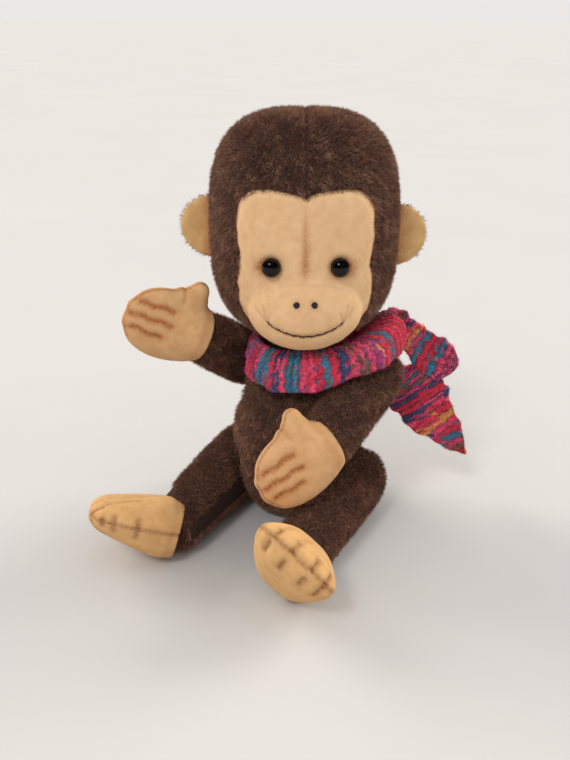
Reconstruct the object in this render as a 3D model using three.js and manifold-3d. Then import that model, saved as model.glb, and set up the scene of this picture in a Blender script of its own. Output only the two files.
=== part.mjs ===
// A seated stuffed monkey with a disc joint at the neck, both shoulders and both hips, and a knitted scarf.
// Millimetres, +Z up. The chest faces -Y and the monkey's left is +X. The origin is the middle of the seat,
// on the surface that the monkey sits on.
import * as THREE from 'three';
import { mergeVertices } from 'three/addons/utils/BufferGeometryUtils.js';
import Module from 'manifold-3d';

const wasm = await Module();
wasm.setup();

// Driving dimensions
const GAP = 0.3; // between pieces that touch
const WALL = 2.4; // pile cloth, backing and pile together
const FAR = 200; // larger than the monkey, for cutting tools

const NECK_Z = 77.85; // where torso and head meet
const SHOULDER = new THREE.Vector3(17.5, 0, 61.2); // middle of the left shoulder's contact plane
const HIP = new THREE.Vector3(14.5, -8, 15.6); // middle of the left hip's contact plane

const HEAD = { halfWidth: 38, halfDepth: 35, height: 89, bottom: 78, turn: 28 };
const ARM_LENGTH = 40; // pivot to wrist
const LEG_LENGTH = 59; // pivot to ankle
const EYE_RADIUS = 3.5;

// How the four limbs are posed at rest. pitch is above the horizontal, in degrees.
const LEFT_ARM = { pitch: -22, wristShift: -2, raised: 14, lowered: 0 };
const RIGHT_ARM = { pitch: 31, wristShift: 1, raised: 3, lowered: -36 };
const LEFT_LEG = { pitch: -4, ankleShift: 3.5, raised: 0, lowered: -84 };
const RIGHT_LEG = { pitch: -4, ankleShift: -2, raised: 8, lowered: -84 };

// Directions of the hands and feet in the monkey's frame: along points from the wrist or ankle to the tips,
// up points to the thumb or, on a foot, out of its upper side.
const LEFT_HAND = { along: [-0.43, -0.82, -0.36], up: [-0.4, -0.04, 0.92] };
const RIGHT_HAND = { along: [-0.56, -0.71, 0.42], up: [0.2, 0.25, 0.9] };
const LEFT_FOOT = { along: [0.4, -0.66, 0.58], up: [0.34, 0.79, 0.52] };
const RIGHT_FOOT = { along: [-0.785, -0.505, 0.3], up: [0.09, 0.446, 0.89] };

const DISC_THICK = 2.2;
const WASHER_THICK = 0.8;
const WASHER_RADIUS = 3.6;
const NUT_THICK = 2.6;
const NUT_RADIUS = 3;
const BOLT_RADIUS = 1.5;
const BOLT_HEAD_THICK = 2;
const DISC_RADII = { neck: 9.5, shoulder: 6, hip: 7.5 };

const material = (color, roughness, metalness = 0) =>
  new THREE.MeshStandardMaterial({ color, roughness, metalness });
const FUR = material(0x4a3029, 0.95);
const FACE_CLOTH = material(0xc8a070, 0.9);
const FOOT_CLOTH = material(0xc69858, 0.9);
const FILLING = material(0xf1efe8, 1);
const BEAD = material(0x0b0a0a, 0.08);
const THREAD = material(0x2a1c16, 0.8);
const KNIT = material(0xb8395c, 0.95);
const HARDBOARD = material(0x7a5436, 0.8);
const STEEL = material(0xb9bcc0, 0.35, 1);

const radians = THREE.MathUtils.degToRad;

// A closed geometry with shared vertices and its faces pointing out.
function closed(geometry) {
  let body = geometry.clone();
  body.deleteAttribute('normal');
  body.deleteAttribute('uv');
  body = mergeVertices(body, 1e-4);
  const p = body.attributes.position;
  const index = Array.from(body.index.array);
  const corners = [new THREE.Vector3(), new THREE.Vector3(), new THREE.Vector3()];
  const kept = [];
  let volume = 0;
  for (let i = 0; i < index.length; i += 3) {
    const [a, b, c] = index.slice(i, i + 3);
    if (a === b || b === c || c === a) continue;
    corners.forEach((corner, k) => corner.fromBufferAttribute(p, [a, b, c][k]));
    volume += corners[0].dot(corners[1].clone().cross(corners[2]));
    kept.push(a, b, c);
  }
  if (volume < 0) kept.reverse();
  body.setIndex(kept);
  return body;
}

function solid(geometry) {
  const body = closed(geometry);
  const mesh = new wasm.Mesh({
    numProp: 3,
    vertProperties: new Float32Array(body.attributes.position.array),
    triVerts: new Uint32Array(body.index.array),
  });
  return new wasm.Manifold(mesh);
}

function geometryOf(manifold) {
  const found = manifold.getMesh();
  const geometry = new THREE.BufferGeometry();
  geometry.setAttribute('position', new THREE.BufferAttribute(new Float32Array(found.vertProperties), 3));
  geometry.setIndex(Array.from(found.triVerts));
  return geometry;
}

const cut = (body, ...tools) => tools.reduce((left, tool) => left.subtract(tool), body);
const join = (first, ...others) => others.reduce((sum, other) => sum.add(other), first);

// A soft closed body. stations are [distance along, half width, half thickness], grow moves its whole surface
// out, and place puts a point of a station's section into the frame.
function loft(stations, sides, rings, grow, place) {
  const table = new THREE.CatmullRomCurve3(stations.map((s) => new THREE.Vector3(...s)));
  const [first, last] = [stations[0][0], stations[stations.length - 1][0]];
  const stretch = (last - first + 2 * grow) / (last - first);
  const profile = [new THREE.Vector2(0, 0)];
  for (let i = 0; i <= rings; i++) profile.push(new THREE.Vector2(1, i / rings));
  profile.push(new THREE.Vector2(0, 1));
  const geometry = new THREE.LatheGeometry(profile, sides);
  const position = geometry.attributes.position;
  for (let i = 0; i < position.count; i++) {
    const [sin, t, cos] = [position.getX(i), position.getY(i), position.getZ(i)];
    const station = table.getPoint(THREE.MathUtils.clamp(t, 0, 1));
    const along = first - grow + (station.x - first) * stretch;
    const point = place(along, cos * (station.y + grow), sin * (station.z + grow));
    position.setXYZ(i, point.x, point.y, point.z);
  }
  return geometry;
}

// Makes a circle's point lie on a squarer curve of the same half width.
const squarer = (x, y, power) => {
  const reach = Math.hypot(x, y);
  if (reach < 1e-9) return [0, 0];
  const [c, s] = [Math.abs(x / reach), Math.abs(y / reach)];
  const factor = (c ** power + s ** power) ** (-1 / power);
  return [x * factor, y * factor];
};

function boxBetween(low, high) {
  const size = new THREE.Vector3().subVectors(high, low);
  const box = new THREE.BoxGeometry(size.x, size.y, size.z);
  const middle = new THREE.Vector3().addVectors(low, high).multiplyScalar(0.5);
  return solid(box.translate(middle.x, middle.y, middle.z));
}

// Everything on the outer side of a plane across X.
const beyondX = (x) => boxBetween(new THREE.Vector3(x, -FAR, -FAR), new THREE.Vector3(FAR, FAR, FAR));

// ---- Disc joints. Local Z runs from the torso into the limb, and z = 0 is where the two skins meet.

const DISC_START = GAP / 2 + WALL + GAP;
const WASHER_START = DISC_START + DISC_THICK + GAP;
const END_START = WASHER_START + WASHER_THICK + GAP;
const BORE_RADIUS = BOLT_RADIUS + GAP;

function ringBetween(inner, outer, from, to, sides) {
  const profile = [
    [inner, from],
    [outer, from],
    [outer, to],
    [inner, to],
    [inner, from],
  ].map((point) => new THREE.Vector2(...point));
  return new THREE.LatheGeometry(profile, sides).rotateX(Math.PI / 2);
}

function cylinderBetween(radius, from, to, sides = 8) {
  const rod = new THREE.CylinderGeometry(radius, radius, to - from, sides);
  return rod.rotateX(Math.PI / 2).translate(0, 0, (from + to) / 2);
}

function boltGeometry() {
  const profile = [
    [0, -END_START - NUT_THICK - 1],
    [BOLT_RADIUS, -END_START - NUT_THICK - 1],
    [BOLT_RADIUS, END_START],
    [WASHER_RADIUS - 0.8, END_START],
    [WASHER_RADIUS - 0.8, END_START + BOLT_HEAD_THICK],
    [0, END_START + BOLT_HEAD_THICK],
  ].map((point) => new THREE.Vector2(...point));
  return new THREE.LatheGeometry(profile, 8).rotateX(Math.PI / 2);
}

// The room that the joint's pieces take on one side of the joint, with the gap around them.
function hardwareRoom(discRadius, side) {
  const reach = side > 0 ? END_START + BOLT_HEAD_THICK + GAP : END_START + NUT_THICK + 1 + GAP;
  const span = (from, to) => (side > 0 ? [from, to] : [-to, -from]);
  const disc = cylinderBetween(discRadius + GAP, ...span(GAP / 2, WASHER_START - GAP / 3), 12);
  const rest = cylinderBetween(WASHER_RADIUS + GAP, ...span(GAP / 2, reach), 10);
  return [disc, rest];
}

const boreTool = () => cylinderBetween(BORE_RADIUS, -8, 8);

// Each joint's place: a group whose local Z points from the torso into the head or limb.
function jointPlace(name) {
  const place = new THREE.Group();
  if (name === 'neck') {
    place.position.set(0, 0, NECK_Z);
    return place;
  }
  const side = name.startsWith('left') ? 1 : -1;
  const pivot = name.endsWith('shoulder') ? SHOULDER : HIP;
  place.position.set(side * pivot.x, pivot.y, pivot.z);
  place.rotation.y = (side * Math.PI) / 2;
  return place;
}

const JOINTS = ['neck', 'left_shoulder', 'right_shoulder', 'left_hip', 'right_hip'];
const discRadiusOf = (name) => DISC_RADII[name.replace(/^(left|right)_/, '')];

// A tool given at a joint, as a solid in the monkey's frame.
function atJoint(name, geometry) {
  const place = jointPlace(name);
  place.updateMatrix();
  return solid(geometry.clone().applyMatrix4(place.matrix));
}

// ---- Limbs. In its own frame a limb points along -Y from its pivot, and X runs outward from the contact plane.

const ARM_STATIONS = [
  [-12.6, 8, 7.4],
  [-9.5, 12.4, 11],
  [0, 14, 12.3],
  [14, 13, 12],
  [27, 12, 11.6],
  [ARM_LENGTH, 10.8, 10.6],
];
const ARM_MIDDLE = 12; // the arm's centre line, out from the contact plane
const ARM_POCKET = 16; // radius of the hollow in the torso's side that the arm lies in
const LEG_STATIONS = [
  [-15, 8.5, 8.5],
  [-11, 12.6, 13],
  [0, 13.6, 15.3],
  [20, 13, 14.2],
  [41, 12.2, 12.2],
  [LEG_LENGTH, 11.4, 11.2],
];
const LEG_MIDDLE = 12;
const LEG_POCKET = 18;

function limbSolid(stations, middle, shift, grow) {
  const length = stations[stations.length - 1][0];
  const geometry = loft(stations, 14, 7, grow, (along, wide, high) => {
    const [x, z] = squarer(wide, high, 2.5);
    const swing = shift * Math.max(0, along / length) ** 1.5;
    return new THREE.Vector3(middle + swing + x, -along, z);
  });
  return solid(geometry).intersect(beyondX(GAP / 2 - grow));
}

// The limb's solid turned into the monkey's frame. side is 1 for left and -1 for right.
function limbInPlace(body, side, pivot, pitch) {
  const matrix = new THREE.Matrix4().makeTranslation(side * pivot.x, pivot.y, pivot.z);
  matrix.multiply(new THREE.Matrix4().makeRotationX(-radians(pitch)));
  matrix.multiply(new THREE.Matrix4().makeScale(side, 1, 1));
  return solid(geometryOf(body).applyMatrix4(matrix));
}

// The room a limb passes through as its joint turns: a flat-floored pocket, open on the outside.
function limbPocket(side, pivot, limb, radius, grow) {
  const reach = radius + grow;
  const low = radians(limb.pitch + limb.lowered);
  const high = radians(limb.pitch + limb.raised);
  const outline = new THREE.Shape();
  outline.absarc(0, 0, reach, high + Math.PI / 2, low + 1.5 * Math.PI, false);
  const corner = (angle, across) =>
    outline.lineTo(
      FAR * Math.cos(angle) - across * reach * Math.sin(angle),
      FAR * Math.sin(angle) + across * reach * Math.cos(angle),
    );
  corner(low, -1);
  corner((low + high) / 2, 0);
  corner(high, 1);
  const pocket = new THREE.ExtrudeGeometry(outline, { depth: FAR, bevelEnabled: false, curveSegments: 7 });
  // The outline's x is forward, its y is up, and the pocket's depth runs outward.
  const place = new THREE.Matrix4().makeBasis(
    new THREE.Vector3(0, -1, 0),
    new THREE.Vector3(0, 0, 1),
    new THREE.Vector3(side, 0, 0),
  );
  place.setPosition(side * (pivot.x + GAP / 2 - grow), pivot.y, pivot.z);
  return solid(pocket.applyMatrix4(place));
}

// ---- Torso: an egg with a forward belly, flat underneath, pressed in where the limbs lie against it.

const TORSO_STATIONS = [
  [0, 15, 19],
  [5, 21, 25.5],
  [18, 25, 30],
  [34, 26, 31],
  [50, 24.5, 28],
  [62, 21.5, 23],
  [71, 18, 18],
  [NECK_Z - GAP / 2, 12, 12.5],
];
const BELLY_FORWARD = 4; // how far the middle of the belly lies in front of the neck and the seat

function torsoBlob(grow) {
  return solid(
    loft(TORSO_STATIONS, 18, 9, grow, (up, wide, deep) => {
      const [x, y] = squarer(wide, deep, 2.2);
      const middle = -BELLY_FORWARD * Math.sin(Math.PI * THREE.MathUtils.clamp(up / NECK_Z, 0, 1));
      return new THREE.Vector3(x, y + middle, up);
    }),
  );
}

function torsoRoomForLimbs(grow) {
  return [
    limbPocket(1, SHOULDER, LEFT_ARM, ARM_POCKET, grow),
    limbPocket(-1, SHOULDER, RIGHT_ARM, ARM_POCKET, grow),
    limbPocket(1, HIP, LEFT_LEG, LEG_POCKET, grow),
    limbPocket(-1, HIP, RIGHT_LEG, LEG_POCKET, grow),
  ];
}

function torsoPieces() {
  const inside = cut(torsoBlob(-WALL), ...torsoRoomForLimbs(GAP + WALL));
  const bores = JOINTS.map((name) => atJoint(name, boreTool()));
  const skin = cut(torsoBlob(0), ...torsoRoomForLimbs(GAP), inside, ...bores);
  const rooms = JOINTS.flatMap((name) =>
    hardwareRoom(discRadiusOf(name), -1).map((room) => atJoint(name, room)),
  );
  const filling = cut(torsoBlob(-WALL - GAP), ...torsoRoomForLimbs(2 * GAP + WALL), ...rooms);
  return [
    mesh('torso_skin', geometryOf(skin), FUR),
    mesh('torso_stuffing', geometryOf(filling), FILLING),
  ];
}

// ---- Head. In its own frame the face looks along -Y and z = 0 is the neck's contact plane.

const MUZZLE = { halfWidth: 22, halfHeight: 16.5, halfDepth: 14, forward: 25, up: 17 };
const HEAD_RINGS = 10;

function headBlob(grow) {
  const half = HEAD.height / 2;
  const base = HEAD.bottom - NECK_Z;
  const stations = [];
  for (let i = 0; i <= HEAD_RINGS; i++) {
    const level = -0.985 + (1.97 * i) / HEAD_RINGS;
    const share = (1 - Math.abs(level) ** 3) ** (1 / 3);
    const height = half * (1 + level / 0.985) + base;
    stations.push([height, HEAD.halfWidth * share, HEAD.halfDepth * share]);
  }
  const cranium = loft(stations, 20, HEAD_RINGS, grow, (up, wide, deep) => {
    const [x, y] = squarer(wide, deep, 2.15);
    return new THREE.Vector3(x, y, up);
  });
  const muzzle = new THREE.SphereGeometry(1, 14, 8);
  muzzle.scale(MUZZLE.halfWidth + grow, MUZZLE.halfDepth + grow, MUZZLE.halfHeight + grow);
  muzzle.translate(0, -MUZZLE.forward, MUZZLE.up);
  return join(solid(cranium), solid(muzzle));
}

// The face cloth's outline from the front: two brow lobes over a notch, a waist at the eyes, round cheeks.
function maskPrism(grow) {
  const right = [
    [0, 59.5],
    [12, 63],
    [22, 58],
    [24.8, 47],
    [23.6, 34.5],
    [24.8, 25],
    [23, 16],
    [15, 7],
    [0, 2.4],
  ];
  const left = right.slice(1, -1).map(([x, z]) => [-x, z]).reverse();
  const middle = new THREE.Vector2(0, 32);
  const points = [...right, ...left].map(([x, z]) => {
    const point = new THREE.Vector2(x, z).sub(middle);
    return point.setLength(point.length() + grow).add(middle);
  });
  const outline = new THREE.Shape(new THREE.SplineCurve([...points, points[0]]).getPoints(28).slice(0, -1));
  const prism = new THREE.ExtrudeGeometry(outline, { depth: FAR, bevelEnabled: false });
  return solid(prism.rotateX(Math.PI / 2));
}

const EYE = { x: 12.7, z: 35.6, forward: 34 };
const NOSTRIL = { x: 3.3, z: 22.4, radius: 1.3 };
const MOUTH = { halfWidth: 14, low: 10, rise: 4.6, radius: 0.5 };

function ellipsoid(x, y, z, rx, ry, rz, across = 10, down = 6) {
  return new THREE.SphereGeometry(1, across, down).scale(rx, ry, rz).translate(x, y, z);
}

// Where the muzzle's front surface is, so that thread and knots lie on it.
function muzzleFront(x, z) {
  const away = (x / MUZZLE.halfWidth) ** 2 + ((z - MUZZLE.up) / MUZZLE.halfHeight) ** 2;
  return -MUZZLE.forward - MUZZLE.halfDepth * Math.sqrt(Math.max(0, 1 - away));
}

function mouthGeometry(radius) {
  const points = [];
  for (let i = -4; i <= 4; i++) {
    const x = (MOUTH.halfWidth * i) / 4;
    const z = MOUTH.low + MOUTH.rise * (i / 4) ** 2;
    points.push(new THREE.Vector3(x, muzzleFront(x, z), z));
  }
  const section = new THREE.Shape();
  section.absarc(0, 0, radius, 0, 2 * Math.PI);
  return new THREE.ExtrudeGeometry(section, {
    steps: 16,
    curveSegments: 3,
    bevelEnabled: false,
    extrudePath: new THREE.CatmullRomCurve3(points),
  });
}

// A half-round ear, standing out from the side of the head.
function earSolid(side) {
  const outline = new THREE.Shape();
  outline.absellipse(0, 0, 12.5, 11, -Math.PI / 2, Math.PI / 2);
  const ear = new THREE.ExtrudeGeometry(outline, {
    depth: 1.6,
    curveSegments: 9,
    bevelThickness: 1.4,
    bevelSize: 1.2,
    bevelSegments: 1,
  });
  ear.translate(0, 0, -0.8).rotateX(Math.PI / 2).rotateZ(radians(8));
  ear.translate(HEAD.halfWidth - 1, 1, side > 0 ? 40 : 43.5).scale(side, 1, 1);
  return cut(solid(ear), headBlob(GAP));
}

function headPieces() {
  const sides = [1, -1];
  const word = { 1: 'left', '-1': 'right' };
  const eye = (side, grow) => {
    const r = EYE_RADIUS + grow;
    return ellipsoid(side * EYE.x, -EYE.forward + 0.4, EYE.z, r, r, r, 10, 6);
  };
  const nostril = (side, grow) => {
    const r = NOSTRIL.radius + grow;
    return ellipsoid(side * NOSTRIL.x, muzzleFront(NOSTRIL.x, NOSTRIL.z), NOSTRIL.z, r, r, r * 1.1, 8, 5);
  };
  const features = (grow) => [
    ...sides.map((side) => solid(eye(side, grow))),
    ...sides.map((side) => solid(nostril(side, grow))),
    solid(mouthGeometry(MOUTH.radius + grow)),
  ];
  const bore = solid(boreTool());
  const shell = cut(headBlob(0), headBlob(-WALL), bore);
  const skin = cut(shell, maskPrism(GAP / 2));
  const mask = cut(shell.intersect(maskPrism(-GAP / 2)), ...features(GAP));
  const rooms = hardwareRoom(DISC_RADII.neck, 1).map(solid);
  const filling = cut(headBlob(-WALL - GAP), ...rooms, ...features(GAP));
  return [
    mesh('head_skin', geometryOf(skin), FUR),
    mesh('face_mask', geometryOf(mask), FACE_CLOTH),
    mesh('head_stuffing', geometryOf(filling), FILLING),
    mesh('mouth_thread', closed(mouthGeometry(MOUTH.radius)), THREAD),
    ...sides.map((side) => mesh(`${word[side]}_ear`, geometryOf(earSolid(side)), FACE_CLOTH)),
    ...sides.map((side) => mesh(`${word[side]}_eye`, closed(eye(side, 0)), BEAD)),
    ...sides.map((side) => mesh(`${word[side]}_nostril`, closed(nostril(side, 0)), THREAD)),
  ];
}

// ---- Hands and feet. Local X runs from the wrist to the tips, Y across, Z through the thickness.

const HAND_STATIONS = [
  [GAP, 10.6, 10.2],
  [6, 13.4, 9],
  [15, 15.4, 7],
  [24, 15.2, 5.6],
  [31, 12, 4],
  [34.5, 6, 2],
];
const FOOT_STATIONS = [
  [GAP, 11.4, 11.2],
  [6, 13.6, 11.6],
  [14, 16.4, 10],
  [24, 17.6, 6.6],
  [32, 15.6, 3.4],
  [34.5, 12, 2],
];
const END_OVERLAP = 3; // how far a hand or foot starts behind the limb's end, before the limb is cut from it

function handSolid() {
  const palm = loft(HAND_STATIONS, 14, 8, 0, (along, wide, thick) => new THREE.Vector3(along, wide, thick));
  const thumb = ellipsoid(8, 12, 0, 6.8, 9, 4.8, 10, 6);
  return join(solid(palm), solid(thumb));
}

function footSolid() {
  const pad = loft(FOOT_STATIONS, 14, 8, 0, (along, wide, thick) => {
    const [y, z] = squarer(wide, thick, 2.2);
    return new THREE.Vector3(along, y, z);
  });
  return solid(pad);
}

// A frame with X along, and Z or Y close to up.
function endFrame(direction, thumbIsUp) {
  const along = new THREE.Vector3(...direction.along).normalize();
  const raw = new THREE.Vector3(...direction.up);
  const up = raw.addScaledVector(along, -raw.dot(along)).normalize();
  const third = new THREE.Vector3().crossVectors(along, up);
  const axes = thumbIsUp ? [along, up, third] : [along, third.negate(), up];
  return new THREE.Matrix4().makeBasis(...axes);
}

function limbPieces(name, kind) {
  const side = name === 'left' ? 1 : -1;
  const isArm = kind === 'arm';
  const [left, right] = isArm ? [LEFT_ARM, RIGHT_ARM] : [LEFT_LEG, RIGHT_LEG];
  const limb = side > 0 ? left : right;
  const stations = isArm ? ARM_STATIONS : LEG_STATIONS;
  const middle = isArm ? ARM_MIDDLE : LEG_MIDDLE;
  const shift = isArm ? limb.wristShift : limb.ankleShift;
  const pivot = isArm ? SHOULDER : HIP;
  const joint = isArm ? 'shoulder' : 'hip';
  const length = isArm ? ARM_LENGTH : LEG_LENGTH;

  const posed = (body) => limbInPlace(body, side, pivot, limb.pitch);
  const end = new THREE.Vector3(middle + shift, -length, 0);
  end.applyMatrix4(new THREE.Matrix4().makeRotationX(-radians(limb.pitch)));
  end.x *= side;
  end.add(new THREE.Vector3(side * pivot.x, pivot.y, pivot.z));

  const direction = isArm
    ? { left: LEFT_HAND, right: RIGHT_HAND }[name]
    : { left: LEFT_FOOT, right: RIGHT_FOOT }[name];
  const frame = endFrame(direction, isArm);
  const along = new THREE.Vector3().setFromMatrixColumn(frame, 0);
  frame.setPosition(end.clone().addScaledVector(along, -END_OVERLAP));
  const extremity = solid(geometryOf(isArm ? handSolid() : footSolid()).applyMatrix4(frame));

  const outer = posed(limbSolid(stations, middle, shift, 0));
  const inner = posed(limbSolid(stations, middle, shift, -WALL));
  const filling = posed(limbSolid(stations, middle, shift, -WALL - GAP));
  const cutEnd = posed(limbSolid(stations, middle, shift, GAP));
  const fullName = `${name}_${joint}`;
  const bore = atJoint(fullName, boreTool());
  const rooms = hardwareRoom(DISC_RADII[joint], 1).map((room) => atJoint(fullName, room));
  const endName = isArm ? 'hand' : 'foot';
  const cloth = isArm ? FACE_CLOTH : FOOT_CLOTH;
  return [
    mesh(`${name}_${kind}_skin`, geometryOf(cut(outer, inner, bore)), FUR),
    mesh(`${name}_${kind}_stuffing`, geometryOf(cut(filling, ...rooms)), FILLING),
    mesh(`${name}_${endName}`, geometryOf(cut(extremity, cutEnd)), cloth),
  ];
}

// ---- Scarf: a knitted strip wound once round the neck and tied behind the left shoulder.

const KNIT_HALF = 1.5; // half the strip's thickness
const KNOT = new THREE.Vector3(31, 24, 57);
const KNOT_AZIMUTH = 132; // degrees from the front, towards the monkey's left

function collarGeometry() {
  const ring = new THREE.TorusGeometry(1, 0.5, 8, 32);
  const position = ring.attributes.position;
  for (let i = 0; i < position.count; i++) {
    const x = position.getX(i);
    const y = position.getY(i);
    const around = Math.atan2(y, x);
    const edge = (Math.hypot(x, y) - 1) / 0.5;
    const face = position.getZ(i) / 0.5;
    const [px, py, pz] = collarPoint(around, edge, face);
    position.setXYZ(i, px, py, pz);
  }
  return closed(ring);
}

// around is the angle from the front towards the left, edge runs from -1 at the top edge to 1 at the hem,
// and face from -1 to 1 through the thickness.
function collarPoint(around, edge, face) {
  const degrees = THREE.MathUtils.radToDeg(around);
  const near = (middle, spread) => {
    const away = Math.abs(((degrees - middle + 540) % 360) - 180);
    return Math.exp(-((away / spread) ** 2));
  };
  const right = near(-85, 48);
  const knot = near(KNOT_AZIMUTH, 22);
  const overLeftArm = THREE.MathUtils.smoothstep(90 - Math.abs(degrees - 90), 26, 54);
  const hemRadius = 30 + 1.5 * overLeftArm - 14 * right + 2 * knot;
  const hemHeight = 62 + 15.4 * overLeftArm + 13.4 * right;
  const topRadius = 20.5 - 5 * right + 9 * knot;
  const topHeight = 75.4 + 1.6 * right + 2 * knot;
  const radius = (hemRadius + topRadius) / 2 + ((hemRadius - topRadius) / 2) * edge;
  const height = (hemHeight + topHeight) / 2 + ((hemHeight - topHeight) / 2) * edge;
  const slope = new THREE.Vector2(hemRadius - topRadius, hemHeight - topHeight).normalize();
  const out = radius - slope.y * face * KNIT_HALF;
  const up = height + slope.x * face * KNIT_HALF;
  return [out * Math.sin(around), -out * Math.cos(around) - 1, up];
}

// A hanging end of the strip along a path, with its flat side turned to the front and the left.
function scarfEnd(points, widths) {
  const path = new THREE.CatmullRomCurve3(points.map((point) => new THREE.Vector3(...point)));
  const last = widths.length - 1;
  const stations = widths.map((width, i) => [i / last, width, KNIT_HALF]);
  const facing = new THREE.Vector3(0.45, -0.85, 0.1);
  return loft(stations, 10, 8, 0, (along, wide, thick) => {
    const t = THREE.MathUtils.clamp(along, 0, 1);
    const side = new THREE.Vector3().crossVectors(facing, path.getTangent(t)).normalize();
    const normal = new THREE.Vector3().crossVectors(path.getTangent(t), side);
    return path.getPoint(t).addScaledVector(side, wide).addScaledVector(normal, thick);
  });
}

const LONG_END = {
  path: [[34, 26.4, 57], [38.6, 28.4, 51], [44, 30.2, 42], [53.6, 33, 30], [62.6, 35.6, 19.5]],
  widths: [7, 12.5, 12, 7, 1.2],
};
const SHORT_END = {
  path: [[27, 24.5, 84], [29, 25.5, 78.4], [36, 28.2, 70], [45.6, 32.2, 63.5], [55.9, 35.4, 59]],
  widths: [6, 8.5, 9, 9, 6],
};

function scarfPieces() {
  const knot = (grow) => solid(ellipsoid(KNOT.x, KNOT.y, KNOT.z, 6 + grow, 5 + grow, 7 + grow, 12, 8));
  const longEnd = solid(scarfEnd(LONG_END.path, LONG_END.widths));
  const shortEnd = solid(scarfEnd(SHORT_END.path, SHORT_END.widths));
  const collar = solid(collarGeometry());
  return [
    mesh('scarf_collar', geometryOf(cut(collar, knot(GAP), longEnd, shortEnd)), KNIT),
    mesh('scarf_knot', geometryOf(knot(0)), KNIT),
    mesh('scarf_long_end', geometryOf(cut(longEnd, knot(GAP))), KNIT),
    mesh('scarf_short_end', geometryOf(cut(shortEnd, knot(GAP), longEnd)), KNIT),
  ];
}

// ---- Assembly

function mesh(name, geometry, surface) {
  const made = new THREE.Mesh(geometry, surface);
  made.name = name;
  return made;
}

function jointPieces(name) {
  const radius = discRadiusOf(name);
  const [bodyEnd, limbEnd] = [-1, 1].map((side) => (from, to) => (side > 0 ? [from, to] : [-to, -from]));
  const limbWord = name === 'neck' ? 'head' : name.endsWith('shoulder') ? 'arm' : 'leg';
  const disc = (span) => ringBetween(BORE_RADIUS, radius, ...span(DISC_START, DISC_START + DISC_THICK), 12);
  const washer = (span) =>
    ringBetween(BORE_RADIUS, WASHER_RADIUS, ...span(WASHER_START, WASHER_START + WASHER_THICK), 8);
  const nut = ringBetween(BORE_RADIUS, NUT_RADIUS, ...bodyEnd(END_START, END_START + NUT_THICK), 6);
  return [
    mesh(`${name}_body_disc`, closed(disc(bodyEnd)), HARDBOARD),
    mesh(`${name}_body_washer`, closed(washer(bodyEnd)), STEEL),
    mesh(`${name}_nut`, closed(nut), STEEL),
    mesh(`${name}_${limbWord}_disc`, closed(disc(limbEnd)), HARDBOARD),
    mesh(`${name}_${limbWord}_washer`, closed(washer(limbEnd)), STEEL),
    mesh(`${name}_bolt`, closed(boltGeometry()), STEEL),
  ];
}

const monkey = new THREE.Group();
monkey.add(...torsoPieces(), ...scarfPieces());
for (const name of JOINTS) {
  const place = jointPlace(name);
  place.add(...jointPieces(name));
  monkey.add(place);
}
const head = new THREE.Group();
head.position.z = NECK_Z;
head.rotation.z = radians(HEAD.turn);
head.add(...headPieces());
monkey.add(head);
for (const name of ['left', 'right']) monkey.add(...limbPieces(name, 'arm'), ...limbPieces(name, 'leg'));

export default monkey;
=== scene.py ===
"""A seated stuffed monkey with a knitted scarf: its cloth, pile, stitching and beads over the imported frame.

Shapes are worked out in millimetres in the frame's own axes (+Z up, the chest faces -Y, the monkey's left
is +X) and become metres when a mesh is made. The head's shapes are worked out facing -Y, with z = 0 at the
neck, and then turned into place.
"""

import math

import bmesh
import bpy
import numpy as np
from mathutils import Matrix, Vector


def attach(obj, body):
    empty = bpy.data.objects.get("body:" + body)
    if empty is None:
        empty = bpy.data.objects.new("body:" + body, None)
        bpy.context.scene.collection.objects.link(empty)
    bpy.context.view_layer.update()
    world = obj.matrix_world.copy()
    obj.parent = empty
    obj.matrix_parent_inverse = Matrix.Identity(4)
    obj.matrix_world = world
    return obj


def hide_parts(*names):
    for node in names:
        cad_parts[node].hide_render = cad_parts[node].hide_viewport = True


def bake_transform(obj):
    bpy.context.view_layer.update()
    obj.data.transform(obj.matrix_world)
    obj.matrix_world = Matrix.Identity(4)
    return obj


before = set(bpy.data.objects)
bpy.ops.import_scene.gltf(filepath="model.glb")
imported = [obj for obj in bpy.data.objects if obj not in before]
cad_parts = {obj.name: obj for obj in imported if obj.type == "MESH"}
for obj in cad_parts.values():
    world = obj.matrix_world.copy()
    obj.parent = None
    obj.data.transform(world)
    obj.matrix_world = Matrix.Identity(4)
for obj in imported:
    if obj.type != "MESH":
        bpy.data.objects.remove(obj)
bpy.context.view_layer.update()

MM = 0.001
rng = np.random.default_rng(11)

# Driving dimensions, the same as the frame's solids
NECK_Z = 77.85
SHOULDER = np.array([17.5, 0, 61.2])
HIP = np.array([14.5, -8, 15.6])
HEAD_TURN = 28
HEAD_HALF_WIDTH = 38
HEAD_HALF_DEPTH = 35
HEAD_HEIGHT = 89
HEAD_CUT = 0.985  # share of the rounded profile's half height where it is cut flat, at the top and the neck
MUZZLE_HALF = np.array([22, 14, 16.5])
MUZZLE_MIDDLE = np.array([0, -25, 17])
EYE_X, EYE_Z, EYE_Y, EYE_RADIUS = 12.7, 35.6, -33.6, 3.5
NOSTRIL_X, NOSTRIL_Z = 3.3, 22.4
MOUTH_HALF_WIDTH, MOUTH_LOW, MOUTH_RISE = 14, 10, 4.6

# How square each form's section is: 2 is an ellipse
HEAD_SQUARENESS, TORSO_SQUARENESS, LIMB_SQUARENESS, FOOT_SQUARENESS = 2.15, 2.2, 2.3, 2.6

PILE_ROOT = 1.7  # how far the woven backing lies under the tips of the pile

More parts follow.
